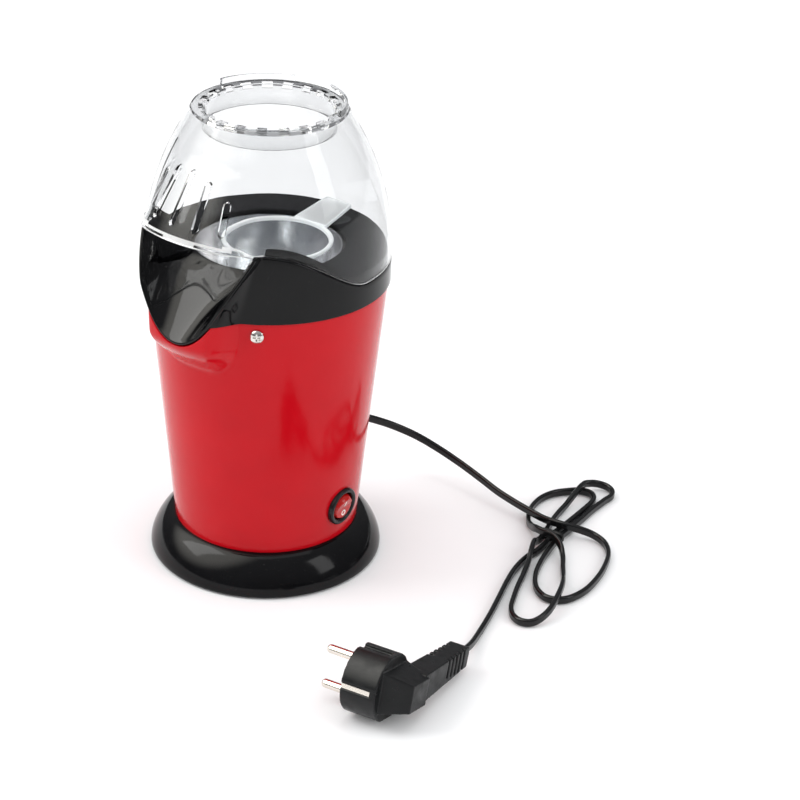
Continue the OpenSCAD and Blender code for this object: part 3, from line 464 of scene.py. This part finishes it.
# The plug's body is remeshed, so that its edges are softly rounded like a rubber moulding
plug = bpy.data.objects.new("plug_moulding", NODES["plug_body"].data.copy())
bpy.context.scene.collection.objects.link(plug)
bm = bmesh.new()
bm.from_mesh(plug.data)
bmesh.ops.remove_doubles(bm, verts=bm.verts, dist=1e-6)
bm.to_mesh(plug.data)
bm.free()
mod = plug.modifiers.new("voxels", "REMESH")
mod.mode = "VOXEL"
mod.voxel_size = 0.00042
mod.use_smooth_shade = True
mod = plug.modifiers.new("soften", "SMOOTH")
mod.factor = 0.5
mod.iterations = 3
applied(plug, 60)
plug.data.materials.clear()
plug.data.materials.append(M["plug_black"])
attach(plug, "base")
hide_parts("plug_body")

# ------------------------------------------------------------------ dimensions, as in the CAD

BASE_R, BASE_H = 66.0, 22.0
BODY_FOOT_R, BODY_TOP_R, BODY_TOP_Z = 52.0, 65.5, 168.5
WALL = 2.2
RING_R, RING_WALL_R, SEAT_R = 66.7, 62.2, 64.2
BACK_Z, FRONT_Z = 181.5, 206.3
THROAT_R, DECK_Z = 41.4, 188.5
TROUGH_TOP_Z, TROUGH_HALF_W, TROUGH_POWER = 205.8, 36.7, 2.1
SHEET_T = 2.0
LIP_R, LIP_Z, LIP_BEND, LIP_RETREAT, LIP_BEAD = 77.9, 155.0, 0.7, 9.4, 0.6
MOUTH_A, CHIN_A, CHIN_Z, CHIN_SINK = 35.0, 28.0, 132.0, 0.5
DOME_TOP_Z, DOME_MOUTH_R, DOME_WALL = 264.5, 34.2, 1.9
HOOD_AXIS, HOOD_SIDE_A, HOOD_EDGE_R, HOOD_EDGE_Z = 15.0, 38.0, 76.0, 210.5
HOOD_BLEND_A = 15.0
SLOT_R, SLOT_MID_A, SLOT_PITCH = 1.9, -5, 12
VENTS = 20
DOME_OUTLINE = [(66.5, 150), (66.5, 181), (66.5, 188), (66.1, 196), (65.3, 203), (64.2, 210), (62.7, 217),
                (60.8, 223.5), (58.6, 230), (56.1, 236.5), (53.1, 243), (49.8, 249.5), (46, 256),
                (41.2, DOME_TOP_Z)]
HOOD_OUTLINE = [(50, 248), (56, 243), (61.3, 235), (66.4, 227), (71.3, 219), (HOOD_EDGE_R, HOOD_EDGE_Z)]


def body_r(z):
    return lerp(BODY_FOOT_R, BODY_TOP_R, (z - BASE_H) / (BODY_TOP_Z - BASE_H))


def edge_z(s):
    return lerp(BACK_Z, FRONT_Z, smooth01((s + 2) / 56))


def throat(t):
    flat, side = clamp01(abs(t) / 0.78), clamp01((abs(t) - 0.78) / 0.22)
    a = math.copysign(lerp(40 * flat, MOUTH_A + 1, side), t)
    return Vector(polar(a, lerp(THROAT_R, 64, side), lerp(DECK_Z - 0.2, TROUGH_TOP_Z, side)))


def lip_plan_r(t):
    return LIP_R - LIP_RETREAT * clamp01((abs(t) - LIP_BEND) / (1 - LIP_BEND)) ** 1.5


def lip(t):
    w, r = TROUGH_HALF_W * t, lip_plan_r(t)
    return Vector((w, -math.sqrt(r * r - w * w), LIP_Z + (TROUGH_TOP_Z - LIP_Z) * abs(t) ** TROUGH_POWER))


def lip_t(z):
    return clamp01((z - LIP_Z) / (TROUGH_TOP_Z - LIP_Z)) ** (1 / TROUGH_POWER)


def drop_dir(t):
    return Vector((0.95 * t, 0.67 * (1 - t * t), -0.74 * (1 - 0.75 * t * t)))


def trough(t, v, drop=0.0):
    return throat(t).lerp(lip(t), v) + drop * drop_dir(t)


def edge_a(z):
    t = lip_t(z)
    return math.degrees(math.asin(TROUGH_HALF_W * t / (lip_plan_r(t) - LIP_BEAD)))


def prow_r(a, z):
    rise = clamp01((z - BODY_TOP_Z) / (FRONT_Z - BODY_TOP_Z))
    edge_r = lip_plan_r(lip_t(z)) - LIP_BEAD
    reach = lerp(CHIN_A, MOUTH_A, rise)
    return lerp(edge_r, RING_R + 0.02, smooth01((abs(a) - edge_a(z)) / (reach - edge_a(z))))


def chin_r(a, z):
    rise = clamp01((z - CHIN_Z) / (BODY_TOP_Z - CHIN_Z))
    reach = max(2.0, CHIN_A * math.sin(math.radians(90 * rise ** 0.32)))
    bulge = smooth01((z - CHIN_Z) / (LIP_Z - CHIN_Z)) * (LIP_R - LIP_BEAD + CHIN_SINK - body_r(z))
    return body_r(z) - CHIN_SINK + bulge * (1 - smooth01((abs(a) / reach - 0.5) / 0.5))


def shell_r(a, z):
    if abs(a) >= 29 or z <= CHIN_Z:
        return body_r(z)
    d = max(0.0, chin_r(a, z) - body_r(z))
    return body_r(z) + d * smooth01(d / 1.2)


def angle_steps(step, extra=()):
    """Angles from -180 to 180, the last left out, closer together where asked."""
    return sorted(set([round(-180 + step * k, 4) for k in range(int(360 / step))] + list(extra)))


# ------------------------------------------------------------------ base skirt

profile = [(40, BASE_H), (40, 19.6), (48, 19.6)]
profile += [(50.2 + 13.3 * max(0, 1 - t ** 1.5) ** 0.667, lerp(3, 19.6, t)) for t in
            [math.sin(math.pi / 2 * k / 14) for k in range(13, -1, -1)]]
profile += [(63.5, 1.1), (63.8, 0.8), (65.2, 0.8), (65.75, 1.05), (BASE_R, 1.6)]
profile += [(52.7 + 13.3 * max(0, 1 - t ** 1.5) ** 0.667, lerp(3, BASE_H, t)) for t in
            [math.sin(math.pi / 2 * k / 40) for k in range(41)]]
shape = Shape()
shape.lathe(profile, 180)
skirt = shape.build("skirt_moulding", [M["black_base"]])
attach(skirt, "base")
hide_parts("base_skirt")

# ------------------------------------------------------------------ body shell

lip_edge = []
for k in range(121):
    p = lip(k / 120) + (SHEET_T + 0.35) * drop_dir(k / 120)
    lip_edge.append((math.degrees(math.atan2(p[0], -p[1])), p[2]))


def shell_top(a):
    return min(BODY_TOP_Z, float(np.interp(abs(a), [e[0] for e in lip_edge], [e[1] for e in lip_edge])))


angles = angle_steps(1.5, [x * 0.5 for x in range(-60, 61)])
rows = []
for k in range(78):
    w = k / 77
    rows.append([polar(a, shell_r(a, lerp(BASE_H, shell_top(a) - 0.35, w)),
                       lerp(BASE_H, shell_top(a) - 0.35, w)) for a in angles])
for inset, down in ((0.10, 0.10), (0.35, 0.0), (WALL - 0.3, 0.0), (WALL, 0.3)):
    rows.append([polar(a, shell_r(a, shell_top(a)) - inset, shell_top(a) - down) for a in angles])
for k in range(24, -1, -1):
    w = k / 24
    rows.append([polar(a, shell_r(a, lerp(24.5, shell_top(a) - 1, w)) - WALL, lerp(24.5, shell_top(a) - 1, w))
                 for a in angles])
rows.append([polar(a, 42, 24.5) for a in angles])
rows.append([polar(a, 42, BASE_H) for a in angles])
shape = Shape()
shape.grid(rows, True, True)
shell = shape.build("shell_moulding", [M["red_shell"]], 40)

SW_R, SW_Z, SW_TILT = 54.1, 42.0, math.radians(5.3)


def switch_place(x, y, z):
    """Switch coordinates: x along +Y, y up the body's wall, z out of it."""
    return (SW_R + y * math.sin(SW_TILT) + z * math.cos(SW_TILT), x,
            SW_Z + y * math.cos(SW_TILT) - z * math.sin(SW_TILT))


shape = Shape()
shape.prism([(10.3 * math.cos(2 * math.pi * k / 48), 10.3 * math.sin(2 * math.pi * k / 48))
             for k in range(48)], -14, 14, place=switch_place)
cut(shell, shape.build("cutter", []))
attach(shell, "base")
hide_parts("body_shell")

# ------------------------------------------------------------------ chute housing

shape = Shape()
# Trough, a sheet with a rolled lip
ts = [k / 48 for k in range(-48, 49)]
# Half the thickness of the sheet's rounded edges
NOSE = 0.98
top_rows = [[trough(t, v) for t in ts] for v in [lerp(0.025, 0.98, k / 29) for k in range(30)]]


def nose_rows(v, sign):
    out = []
    for k in range(1, 8):
        f = math.pi * k / 8
        row = []
        for t in ts:
            p = trough(t, v)
            d = SHEET_T / 2 * drop_dir(t)
            along = (lip(t) - throat(t)).normalized() * sign * NOSE
            row.append(p + d - d * math.cos(f) + along * math.sin(f))
        out.append(row)
    return out


bottom_rows = [[trough(t, v, SHEET_T) for t in ts] for v in [lerp(0.98, 0.025, k / 14) for k in range(15)]]
rows = top_rows + nose_rows(0.98, 1) + bottom_rows + nose_rows(0.025, -1)[::-1]
shape.grid(rows, True, False, caps=True)
# Cheeks between the trough's lip and the ring
for side in (-1, 1):
    outer, inner = [], []
    for i in range(40):
        z = lerp(BODY_TOP_Z + 0.1, FRONT_Z - 0.25, i / 39)
        cols = [lerp(edge_a(z) - 0.25, MOUTH_A + 1.5, (j / 36) ** 1.15) for j in range(37)]
        outer.append([polar(side * a, prow_r(a, z), z) for a in cols])
        inner.append([polar(side * a, lerp(RING_WALL_R + 1, LIP_R - LIP_BEAD - WALL,
                                           smooth01((prow_r(a, z) - 72) / 5)), z) for a in cols])
    loop = outer + inner[::-1]
    shape.grid(loop, True, False, caps=True)


# Ring with the dome's seat
def outline_r(z, outline=DOME_OUTLINE):
    zs = [p[1] for p in outline]
    rs = [p[0] for p in outline]
    i = min(len(zs) - 2, max(0, next((k for k in range(len(zs) - 1) if z <= zs[k + 1]), len(zs) - 2)))
    h = zs[i + 1] - zs[i]
    t = clamp01((z - zs[i]) / h)
    slope = []
    for k in (i, i + 1):
        if 0 < k < len(zs) - 1:
            slope.append((rs[k + 1] - rs[k - 1]) / (zs[k + 1] - zs[k - 1]) * h)
        else:
            slope.append(rs[i + 1] - rs[i])
    return ((2 * t ** 3 - 3 * t * t + 1) * rs[i] + (t ** 3 - 2 * t * t + t) * slope[0]
            + (3 * t * t - 2 * t ** 3) * rs[i + 1] + (t ** 3 - t * t) * slope[1])


def ring_point(r, z, w):
    """w runs from 0 at one end of the ring to 1 at the other, round the back."""
    start = 36 - (r - 64) * 0.8
    a = lerp(start, 360 - start, w)
    return a, r, z


ring_cols = [k / 240 for k in range(241)]


def ring_row(kind):
    row = []
    for w in ring_cols:
        a = lerp(35, 325, w)
        e = edge_z(RING_R * math.cos(math.radians(a)))
        top = max(DECK_Z, e + 3)
        r, z = kind(e, top)
        row.append(polar(*ring_point(r, z, w)))
    return row


def seat_r(z):
    return outline_r(z) - 2.3


kinds = [lambda e, s: (60.0, BODY_TOP_Z + 0.02), lambda e, s: (RING_R - 0.3, BODY_TOP_Z + 0.02),
         lambda e, s: (RING_R, BODY_TOP_Z + 0.4)]
kinds += [lambda e, s, k=k: (RING_R, lerp(BODY_TOP_Z + 0.4, e - 0.7, k / 6)) for k in range(1, 7)]
kinds += [lambda e, s: (RING_R - 0.2, e - 0.2), lambda e, s: (RING_R - 0.65, e), lambda e, s: (SEAT_R + 0.1, e),
          lambda e, s: (seat_r(e + 0.1), e + 0.1), lambda e, s: (seat_r(lerp(e, s, 0.5)), lerp(e, s, 0.5)),
          lambda e, s: (seat_r(s - 0.35), s - 0.35), lambda e, s: (seat_r(s) - 0.3, s),
          lambda e, s: (min(RING_WALL_R, seat_r(s) - 0.9), s), lambda e, s: (RING_WALL_R - 0.4, DECK_Z - 0.2),
          lambda e, s: (60.0, DECK_Z - 1)]
shape.grid([ring_row(k) for k in kinds], True, False, caps=True)
# Deck round the chamber
deck = []
for r, z in ([(lerp(62.4, 41.9, k / 8), DECK_Z) for k in range(9)] + [(41.5, 188.35), (THROAT_R, 188)]
             + [(THROAT_R, 186.8), (42, 186.5), (62.4, 186.5)]):
    start = lerp(31.2, 24.5, clamp01((r - THROAT_R) / (RING_WALL_R - THROAT_R)))
    deck.append([polar(lerp(start, 360 - start, w), r, z) for w in ring_cols])
shape.grid(deck, True, False, caps=True)
housing = shape.build("housing_moulding", [M["black_gloss"]], 38)
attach(housing, "base")
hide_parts("chute_housing")

# ------------------------------------------------------------------ dome


def hood_r(a, z):
    hs = sorted([(p[1], p[0]) for p in HOOD_OUTLINE])
    h = float(np.interp(z, [p[0] for p in hs], [p[1] for p in hs]))
    if z < HOOD_EDGE_Z:
        h = HOOD_EDGE_R
    s = HOOD_AXIS * math.sin(math.radians(a))
    return HOOD_AXIS * math.cos(math.radians(a)) + math.sqrt(max(0, (h - HOOD_AXIS) ** 2 - s * s))


def dome_r(a, z, inner=False):
    """Radius of the dome's outer or inner face."""
    r = outline_r(z)
    if abs(a) < HOOD_SIDE_A and z < 249:
        h = lerp(r, hood_r(a, z), 1 - smooth01((abs(a) - HOOD_SIDE_A + HOOD_BLEND_A) / HOOD_BLEND_A))
        d = h - r
        r += 0.5 * (d + math.sqrt(d * d + 0.5)) if d > -3 else 0
        r = min(r, max(h, outline_r(z)) + 0.1)
    return r - (DOME_WALL if inner else 0)


def dome_foot(a, inner=False):
    z = 205.0
    for _ in range(4):
        s = dome_r(a, z, inner) * math.cos(math.radians(a))
        z = edge_z(s) + 0.1 if s < 54 else lerp(edge_z(54) + 0.1, HOOD_EDGE_Z, (s - 54) / 22)
    return z


dome_angles = angle_steps(2, [s * x for s in (-1, 1) for x in (34.8, 35.2, 35.6, 36.4, 36.8, 37.2, 37.6)])
N = 44
rows = []
for k in range(N + 1):
    w = k / N
    rows.append([polar(a, dome_r(a, lerp(dome_foot(a) + 0.3, DOME_TOP_Z - 0.5, w)),
                       lerp(dome_foot(a) + 0.3, DOME_TOP_Z - 0.5, w)) for a in dome_angles])
for r, z in ((41.1, 264.3), (40.7, 264.5), (37.5, 264.5), (34.6, 264.5), (34.3, 264.4), (DOME_MOUTH_R, 264.1),
             (DOME_MOUTH_R, 258), (DOME_MOUTH_R, 252.8), (34.5, 252.5), (35.4, 252.5), (35.7, 252.8),
             (35.7, 258), (35.7, 262.2), (36, 262.6), (38, 262.6)):
    rows.append([polar(a, r, z) for a in dome_angles])
for k in range(N, -1, -1):
    w = k / N
    rows.append([polar(a, dome_r(a, lerp(dome_foot(a, True) + 0.3, 262.2, w), True),
                       lerp(dome_foot(a, True) + 0.3, 262.2, w)) for a in dome_angles])
rows.append([polar(a, dome_r(a, dome_foot(a), True) + 0.35, dome_foot(a)) for a in dome_angles])
rows.append([polar(a, dome_r(a, dome_foot(a)) - 0.35, dome_foot(a)) for a in dome_angles])
shape = Shape()
shape.grid(rows, True, True)
dome = shape.build("dome_moulding", [DOME], 45)

# Slots in the hood and vents in the top
shape = Shape()
for k in range(-2, 3):
    a = math.radians(SLOT_MID_A + SLOT_PITCH * k)
    z0, z1 = 217.0, 243 - 2 * k * k - 1.2 * k
    ends = [(SLOT_R * math.cos(math.pi * q / 10), SLOT_R * math.sin(math.pi * q / 10)) for q in range(11)]
    outline = [(x, z1 - SLOT_R + h) for x, h in ends] + [(-x, z0 + SLOT_R - h) for x, h in ends]

    def slot_place(x, z, depth, a=a):
        return (x * math.cos(a) + depth * math.sin(a), x * math.sin(a) - depth * math.cos(a), z)

    shape.prism(outline, 44, 90, place=slot_place)
for k in range(VENTS):
    a = math.radians((k + 0.31) * 360 / VENTS)

    def vent_place(x, y, z, a=a):
        return (x * math.cos(a) + y * math.sin(a), x * math.sin(a) - y * math.cos(a), z)

    shape.box((-3, 33.2, 261.5), (3, 37.5, 266), place=vent_place)
cut(dome, shape.build("cutter", []))
dome.data.set_sharp_from_angle(angle=math.radians(45))
# The cut lower edge catches the light
dome.data.materials.append(EDGE)
for face in dome.data.polygons:
    if face.normal.z < -0.4 and face.center.z < 0.2125 and math.hypot(face.center.x, face.center.y) > 0.06:
        face.material_index = 1

# Two arcs of the collar stand on the top
shape = Shape()
for a0 in (-161, 104):
    rows = []
    for r, z in ((39.0, 264.45), (39.0, 267.7), (39.35, 268.05), (40.45, 268.05), (40.8, 267.7), (40.8, 264.45)):
        rows.append([polar(lerp(a0, a0 + 61, k / 40), r, z) for k in range(41)])
    shape.grid(rows, True, False, caps=True)
arcs = shape.build("dome_collar", [DOME], 45)
for o in (dome, arcs):
    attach(o, "dome")
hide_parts("dome_cover")

# ------------------------------------------------------------------ measuring cup

CX, CY, C0 = 3.0, 3.8, 143.1
TOP = 189.0
cup_profile = [(0.001, C0 + 0.5), (22, C0 + 0.5), (22.6, C0), (24.4, C0), (25, C0 + 0.6)]
cup_profile += [(lerp(25, 29.2, k / 12), lerp(C0 + 0.6, TOP - 1.9, k / 12)) for k in range(1, 13)]
rim_profile = [(29.1, TOP - 1.9), (30.0, TOP - 1.7), (30.3, TOP - 1.2), (30.3, TOP - 0.5), (29.9, TOP - 0.05),
               (28.6, TOP), (28.0, TOP - 0.4), (27.8, TOP - 1.2), (27.7, TOP - 1.9)]
cup_profile += [(27.7, TOP - 1.9)]
cup_profile += [(lerp(27.6, 23.5, k / 12), lerp(TOP - 1.9, C0 + 2.2, k / 12)) for k in range(1, 13)]
cup_profile += [(22.8, C0 + 1.6), (0.001, C0 + 1.6)]
shape = Shape()


def cup_place(x, y, z):
    return (x + CX, y + CY, z)


shape.lathe(cup_profile, 128, 0, cup_place)
shape.lathe(rim_profile, 128, 1, cup_place)
HANDLE_TILT = math.radians(9)


def handle_place(x, y, z):
    return (CX + x, CY + 28 + y * math.cos(HANDLE_TILT) - z * math.sin(HANDLE_TILT),
            TOP + y * math.sin(HANDLE_TILT) + z * math.cos(HANDLE_TILT))


def handle_outline(inset, y0):
    """Tapered tab with rounded corners at its free end."""
    w0, w1, y1, r = 11 - inset, 9.3 - inset, 28 - inset, 2.6 - inset * 0.5
    pts = [(-w0, y0)]
    pts += [(w0, y0)]
    turns = [math.pi / 2 * k / 6 for k in range(7)]
    pts += [(w1 - r + r * math.cos(q), y1 - r + r * math.sin(q)) for q in turns]
    pts += [(-w1 + r - r * math.sin(q), y1 - r + r * math.cos(q)) for q in turns]
    return pts


shape.prism(handle_outline(0.9, 0.2), -1.0, -0.1, 2, handle_place)
outer, inner = handle_outline(0, 0.2), handle_outline(1.1, 1.3)
loop = []
for pts, z in ((outer, -1.3), (outer, 0.1), (handle_outline(0.3, 0.5), 0.38), (handle_outline(0.8, 1.0), 0.38),
               (inner, 0.1), (inner, -1.3)):
    loop.append([handle_place(x, y, z) for x, y in pts])
shape.grid(loop, True, True, 1)
CUP_TAB = clear("cup_tab", (0.93, 0.94, 0.94), 0.28, weight=0.8, haze=0.15, bump=0.15)
cup = shape.build("cup_moulding", [CUP, CUP_RIM, CUP_TAB], 35)
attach(cup, "cup")
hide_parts("measuring_cup")

# ------------------------------------------------------------------ switch

shape = Shape()
shape.lathe([(9.9, -16), (9.9, -1), (10.9, -1), (11.0, -0.9), (11.0, 0.9), (10.9, 1.25), (10.6, 1.6), (10.2, 1.85),
             (9.8, 1.9), (9.1, 1.75), (8.5, 1.35), (8.15, 0.6), (8.1, -0.4), (8.1, -10), (6, -16)], 96,
            place=switch_place)
bezel = shape.build("switch_bezel", [M["switch_black"]], 40)
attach(bezel, "base")
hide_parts("switch_housing")

PIVOT = -2.4
ROCK = math.radians(8)


def rocker_place(x, y, z):
    v = Vector((x, y, z - PIVOT))
    c, s = math.cos(ROCK), math.sin(ROCK)
    v = Vector((v[0], v[1] * c - v[2] * s, v[1] * s + v[2] * c))
    if v.length > 7.9:
        v *= 7.9 / v.length
    return switch_place(v[0], v[1], v[2] + PIVOT)


def rocker_top(x, y):
    return 1.72 + math.tan(math.radians(9)) * (math.sqrt(y * y + 1.4) - 0.3)


shape = Shape()
rows = [[rocker_place(0.001 * math.cos(q), 0.001 * math.sin(q), rocker_top(0, 0)) for q in
         [2 * math.pi * k / 72 for k in range(72)]]]
for r in [0.5 * k for k in range(1, 14)] + [6.9, 7.2, 7.4]:
    rows.append([rocker_place(r * math.cos(q), r * math.sin(q), rocker_top(0, r * math.sin(q)))
                 for q in [2 * math.pi * k / 72 for k in range(72)]])
for z in (1.5, 0.5, -0.5, -1.5, -3, -5.2):
    rows.append([rocker_place(7.6 * math.cos(q), 7.6 * math.sin(q), z) for q in
                 [2 * math.pi * k / 72 for k in range(72)]])
rows.append([rocker_place(0.001 * math.cos(q), 0.001 * math.sin(q), -5.3) for q in
             [2 * math.pi * k / 72 for k in range(72)]])
shape.grid(rows, False, True)
rocker = shape.build("rocker_moulding", [ROCKER], 40)
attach(rocker, "rocker")
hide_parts("switch_rocker")


def mark_grid(outer_pts, inner_pts):
    """A thin raised mark that follows the rocker's face."""
    rows = []
    for pts, lift in ((outer_pts, -0.05), (outer_pts, 0.09), (inner_pts, 0.09), (inner_pts, -0.05)):
        rows.append([rocker_place(x, y, rocker_top(x, y) + lift) for x, y in pts])
    return rows


shape = Shape()
bar = [(0.48, -1.7), (0.48, 0), (0.48, 1.7), (-0.48, 1.7), (-0.48, 0), (-0.48, -1.7)]
bar = [(x, y + 3.1) for x, y in bar]
shape.grid(mark_grid(bar, [(x * 0.15, 3.1 + (y - 3.1) * 0.9) for x, y in bar]), True, True)
ring = [2 * math.pi * k / 32 for k in range(32)]
shape.grid(mark_grid([(1.75 * math.cos(q), -3.1 + 1.75 * math.sin(q)) for q in ring],
                     [(1.05 * math.cos(q), -3.1 + 1.05 * math.sin(q)) for q in ring]), True, True)
marks = shape.build("rocker_marks", [PRINT], 40)
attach(marks, "rocker")

# ------------------------------------------------------------------ studio

bpy.ops.mesh.primitive_plane_add(size=14, location=(0, 0, -0.0002))
floor = bpy.context.object
floor.name = "studio_floor"
floor.data.materials.append(plastic("pale_floor", (0.93, 0.93, 0.93), 0.9, 1.3, 0.0, 200, 0.004,
                                    rough_vary=0.02))

world = bpy.data.worlds.new("studio")
bpy.context.scene.world = world
world.use_nodes = True
wt = world.node_tree
bg = wt.nodes["Background"]
geo = wt.nodes.new("ShaderNodeTexCoord")
sep = wt.nodes.new("ShaderNodeSeparateXYZ")
wt.links.new(geo.outputs["Generated"], sep.inputs["Vector"])
grad = wt.nodes.new("ShaderNodeValToRGB")
grad.color_ramp.elements[0].position = 0.0
grad.color_ramp.elements[0].color = (1, 1, 1, 1)
grad.color_ramp.elements[1].position = 1.0
grad.color_ramp.elements[1].color = (0.92, 0.93, 0.95, 1)
wt.links.new(sep.outputs["Z"], grad.inputs["Fac"])
wt.links.new(grad.outputs["Color"], bg.inputs["Color"])
bg.inputs["Strength"].default_value = 1.0
# Gloss sees a darker room than the floor and the background do
dim = wt.nodes.new("ShaderNodeBackground")
dim_grad = wt.nodes.new("ShaderNodeValToRGB")
dim_grad.color_ramp.elements[0].color = (0.10, 0.10, 0.105, 1)
dim_grad.color_ramp.elements[1].color = (0.55, 0.56, 0.58, 1)
wt.links.new(sep.outputs["Z"], dim_grad.inputs["Fac"])
# A broad soft box above the front left shows in gloss only
aim = wt.nodes.new("ShaderNodeVectorMath")
aim.operation = "DOT_PRODUCT"
aim.inputs[1].default_value = Vector((-0.50, -0.40, 0.76)).normalized()
wt.links.new(geo.outputs["Generated"], aim.inputs[0])
patch = wt.nodes.new("ShaderNodeMapRange")
patch.interpolation_type = "SMOOTHSTEP"
patch.inputs["From Min"].default_value = 0.74
patch.inputs["From Max"].default_value = 0.94
patch.inputs["To Max"].default_value = 1.0
wt.links.new(aim.outputs["Value"], patch.inputs["Value"])
box_mix = wt.nodes.new("ShaderNodeMixRGB")
box_mix.inputs["Color2"].default_value = (4.3, 4.2, 3.9, 1)
wt.links.new(patch.outputs["Result"], box_mix.inputs["Fac"])
wt.links.new(dim_grad.outputs["Color"], box_mix.inputs["Color1"])
wt.links.new(box_mix.outputs["Color"], dim.inputs["Color"])
rays = wt.nodes.new("ShaderNodeLightPath")
room = wt.nodes.new("ShaderNodeMixShader")
wt.links.new(rays.outputs["Is Glossy Ray"], room.inputs["Fac"])
wt.links.new(bg.outputs["Background"], room.inputs[1])
wt.links.new(dim.outputs["Background"], room.inputs[2])
wt.links.new(room.outputs["Shader"], wt.nodes["World Output"].inputs["Surface"])


def lamp(name, at, to, size, power, color=(1, 1, 1)):
    data = bpy.data.lights.new(name, "AREA")
    data.shape = "RECTANGLE"
    data.size, data.size_y = size
    data.energy = power
    data.color = color
    obj = bpy.data.objects.new(name, data)
    bpy.context.scene.collection.objects.link(obj)
    obj.location = at
    obj.rotation_euler = (Vector(to) - Vector(at)).to_track_quat("-Z", "Y").to_euler()
    return obj


lamp("key", (-1.2, -0.9, 1.55), (0, 0, 0.12), (0.9, 1.3), 17)
lamp("side", (1.5, 0.3, 0.9), (0, 0, 0.12), (0.5, 1.0), 5)
lamp("top", (0.1, 0.2, 1.9), (0, 0, 0.1), (1.2, 1.2), 4)

scene = bpy.context.scene
scene.view_settings.view_transform = "Standard"
scene.view_settings.look = "None"
# Light has to pass the walls of the dome and the cup many times
scene.cycles.max_bounces = 28
scene.cycles.transmission_bounces = 28
scene.cycles.transparent_max_bounces = 28
scene.cycles.glossy_bounces = 10
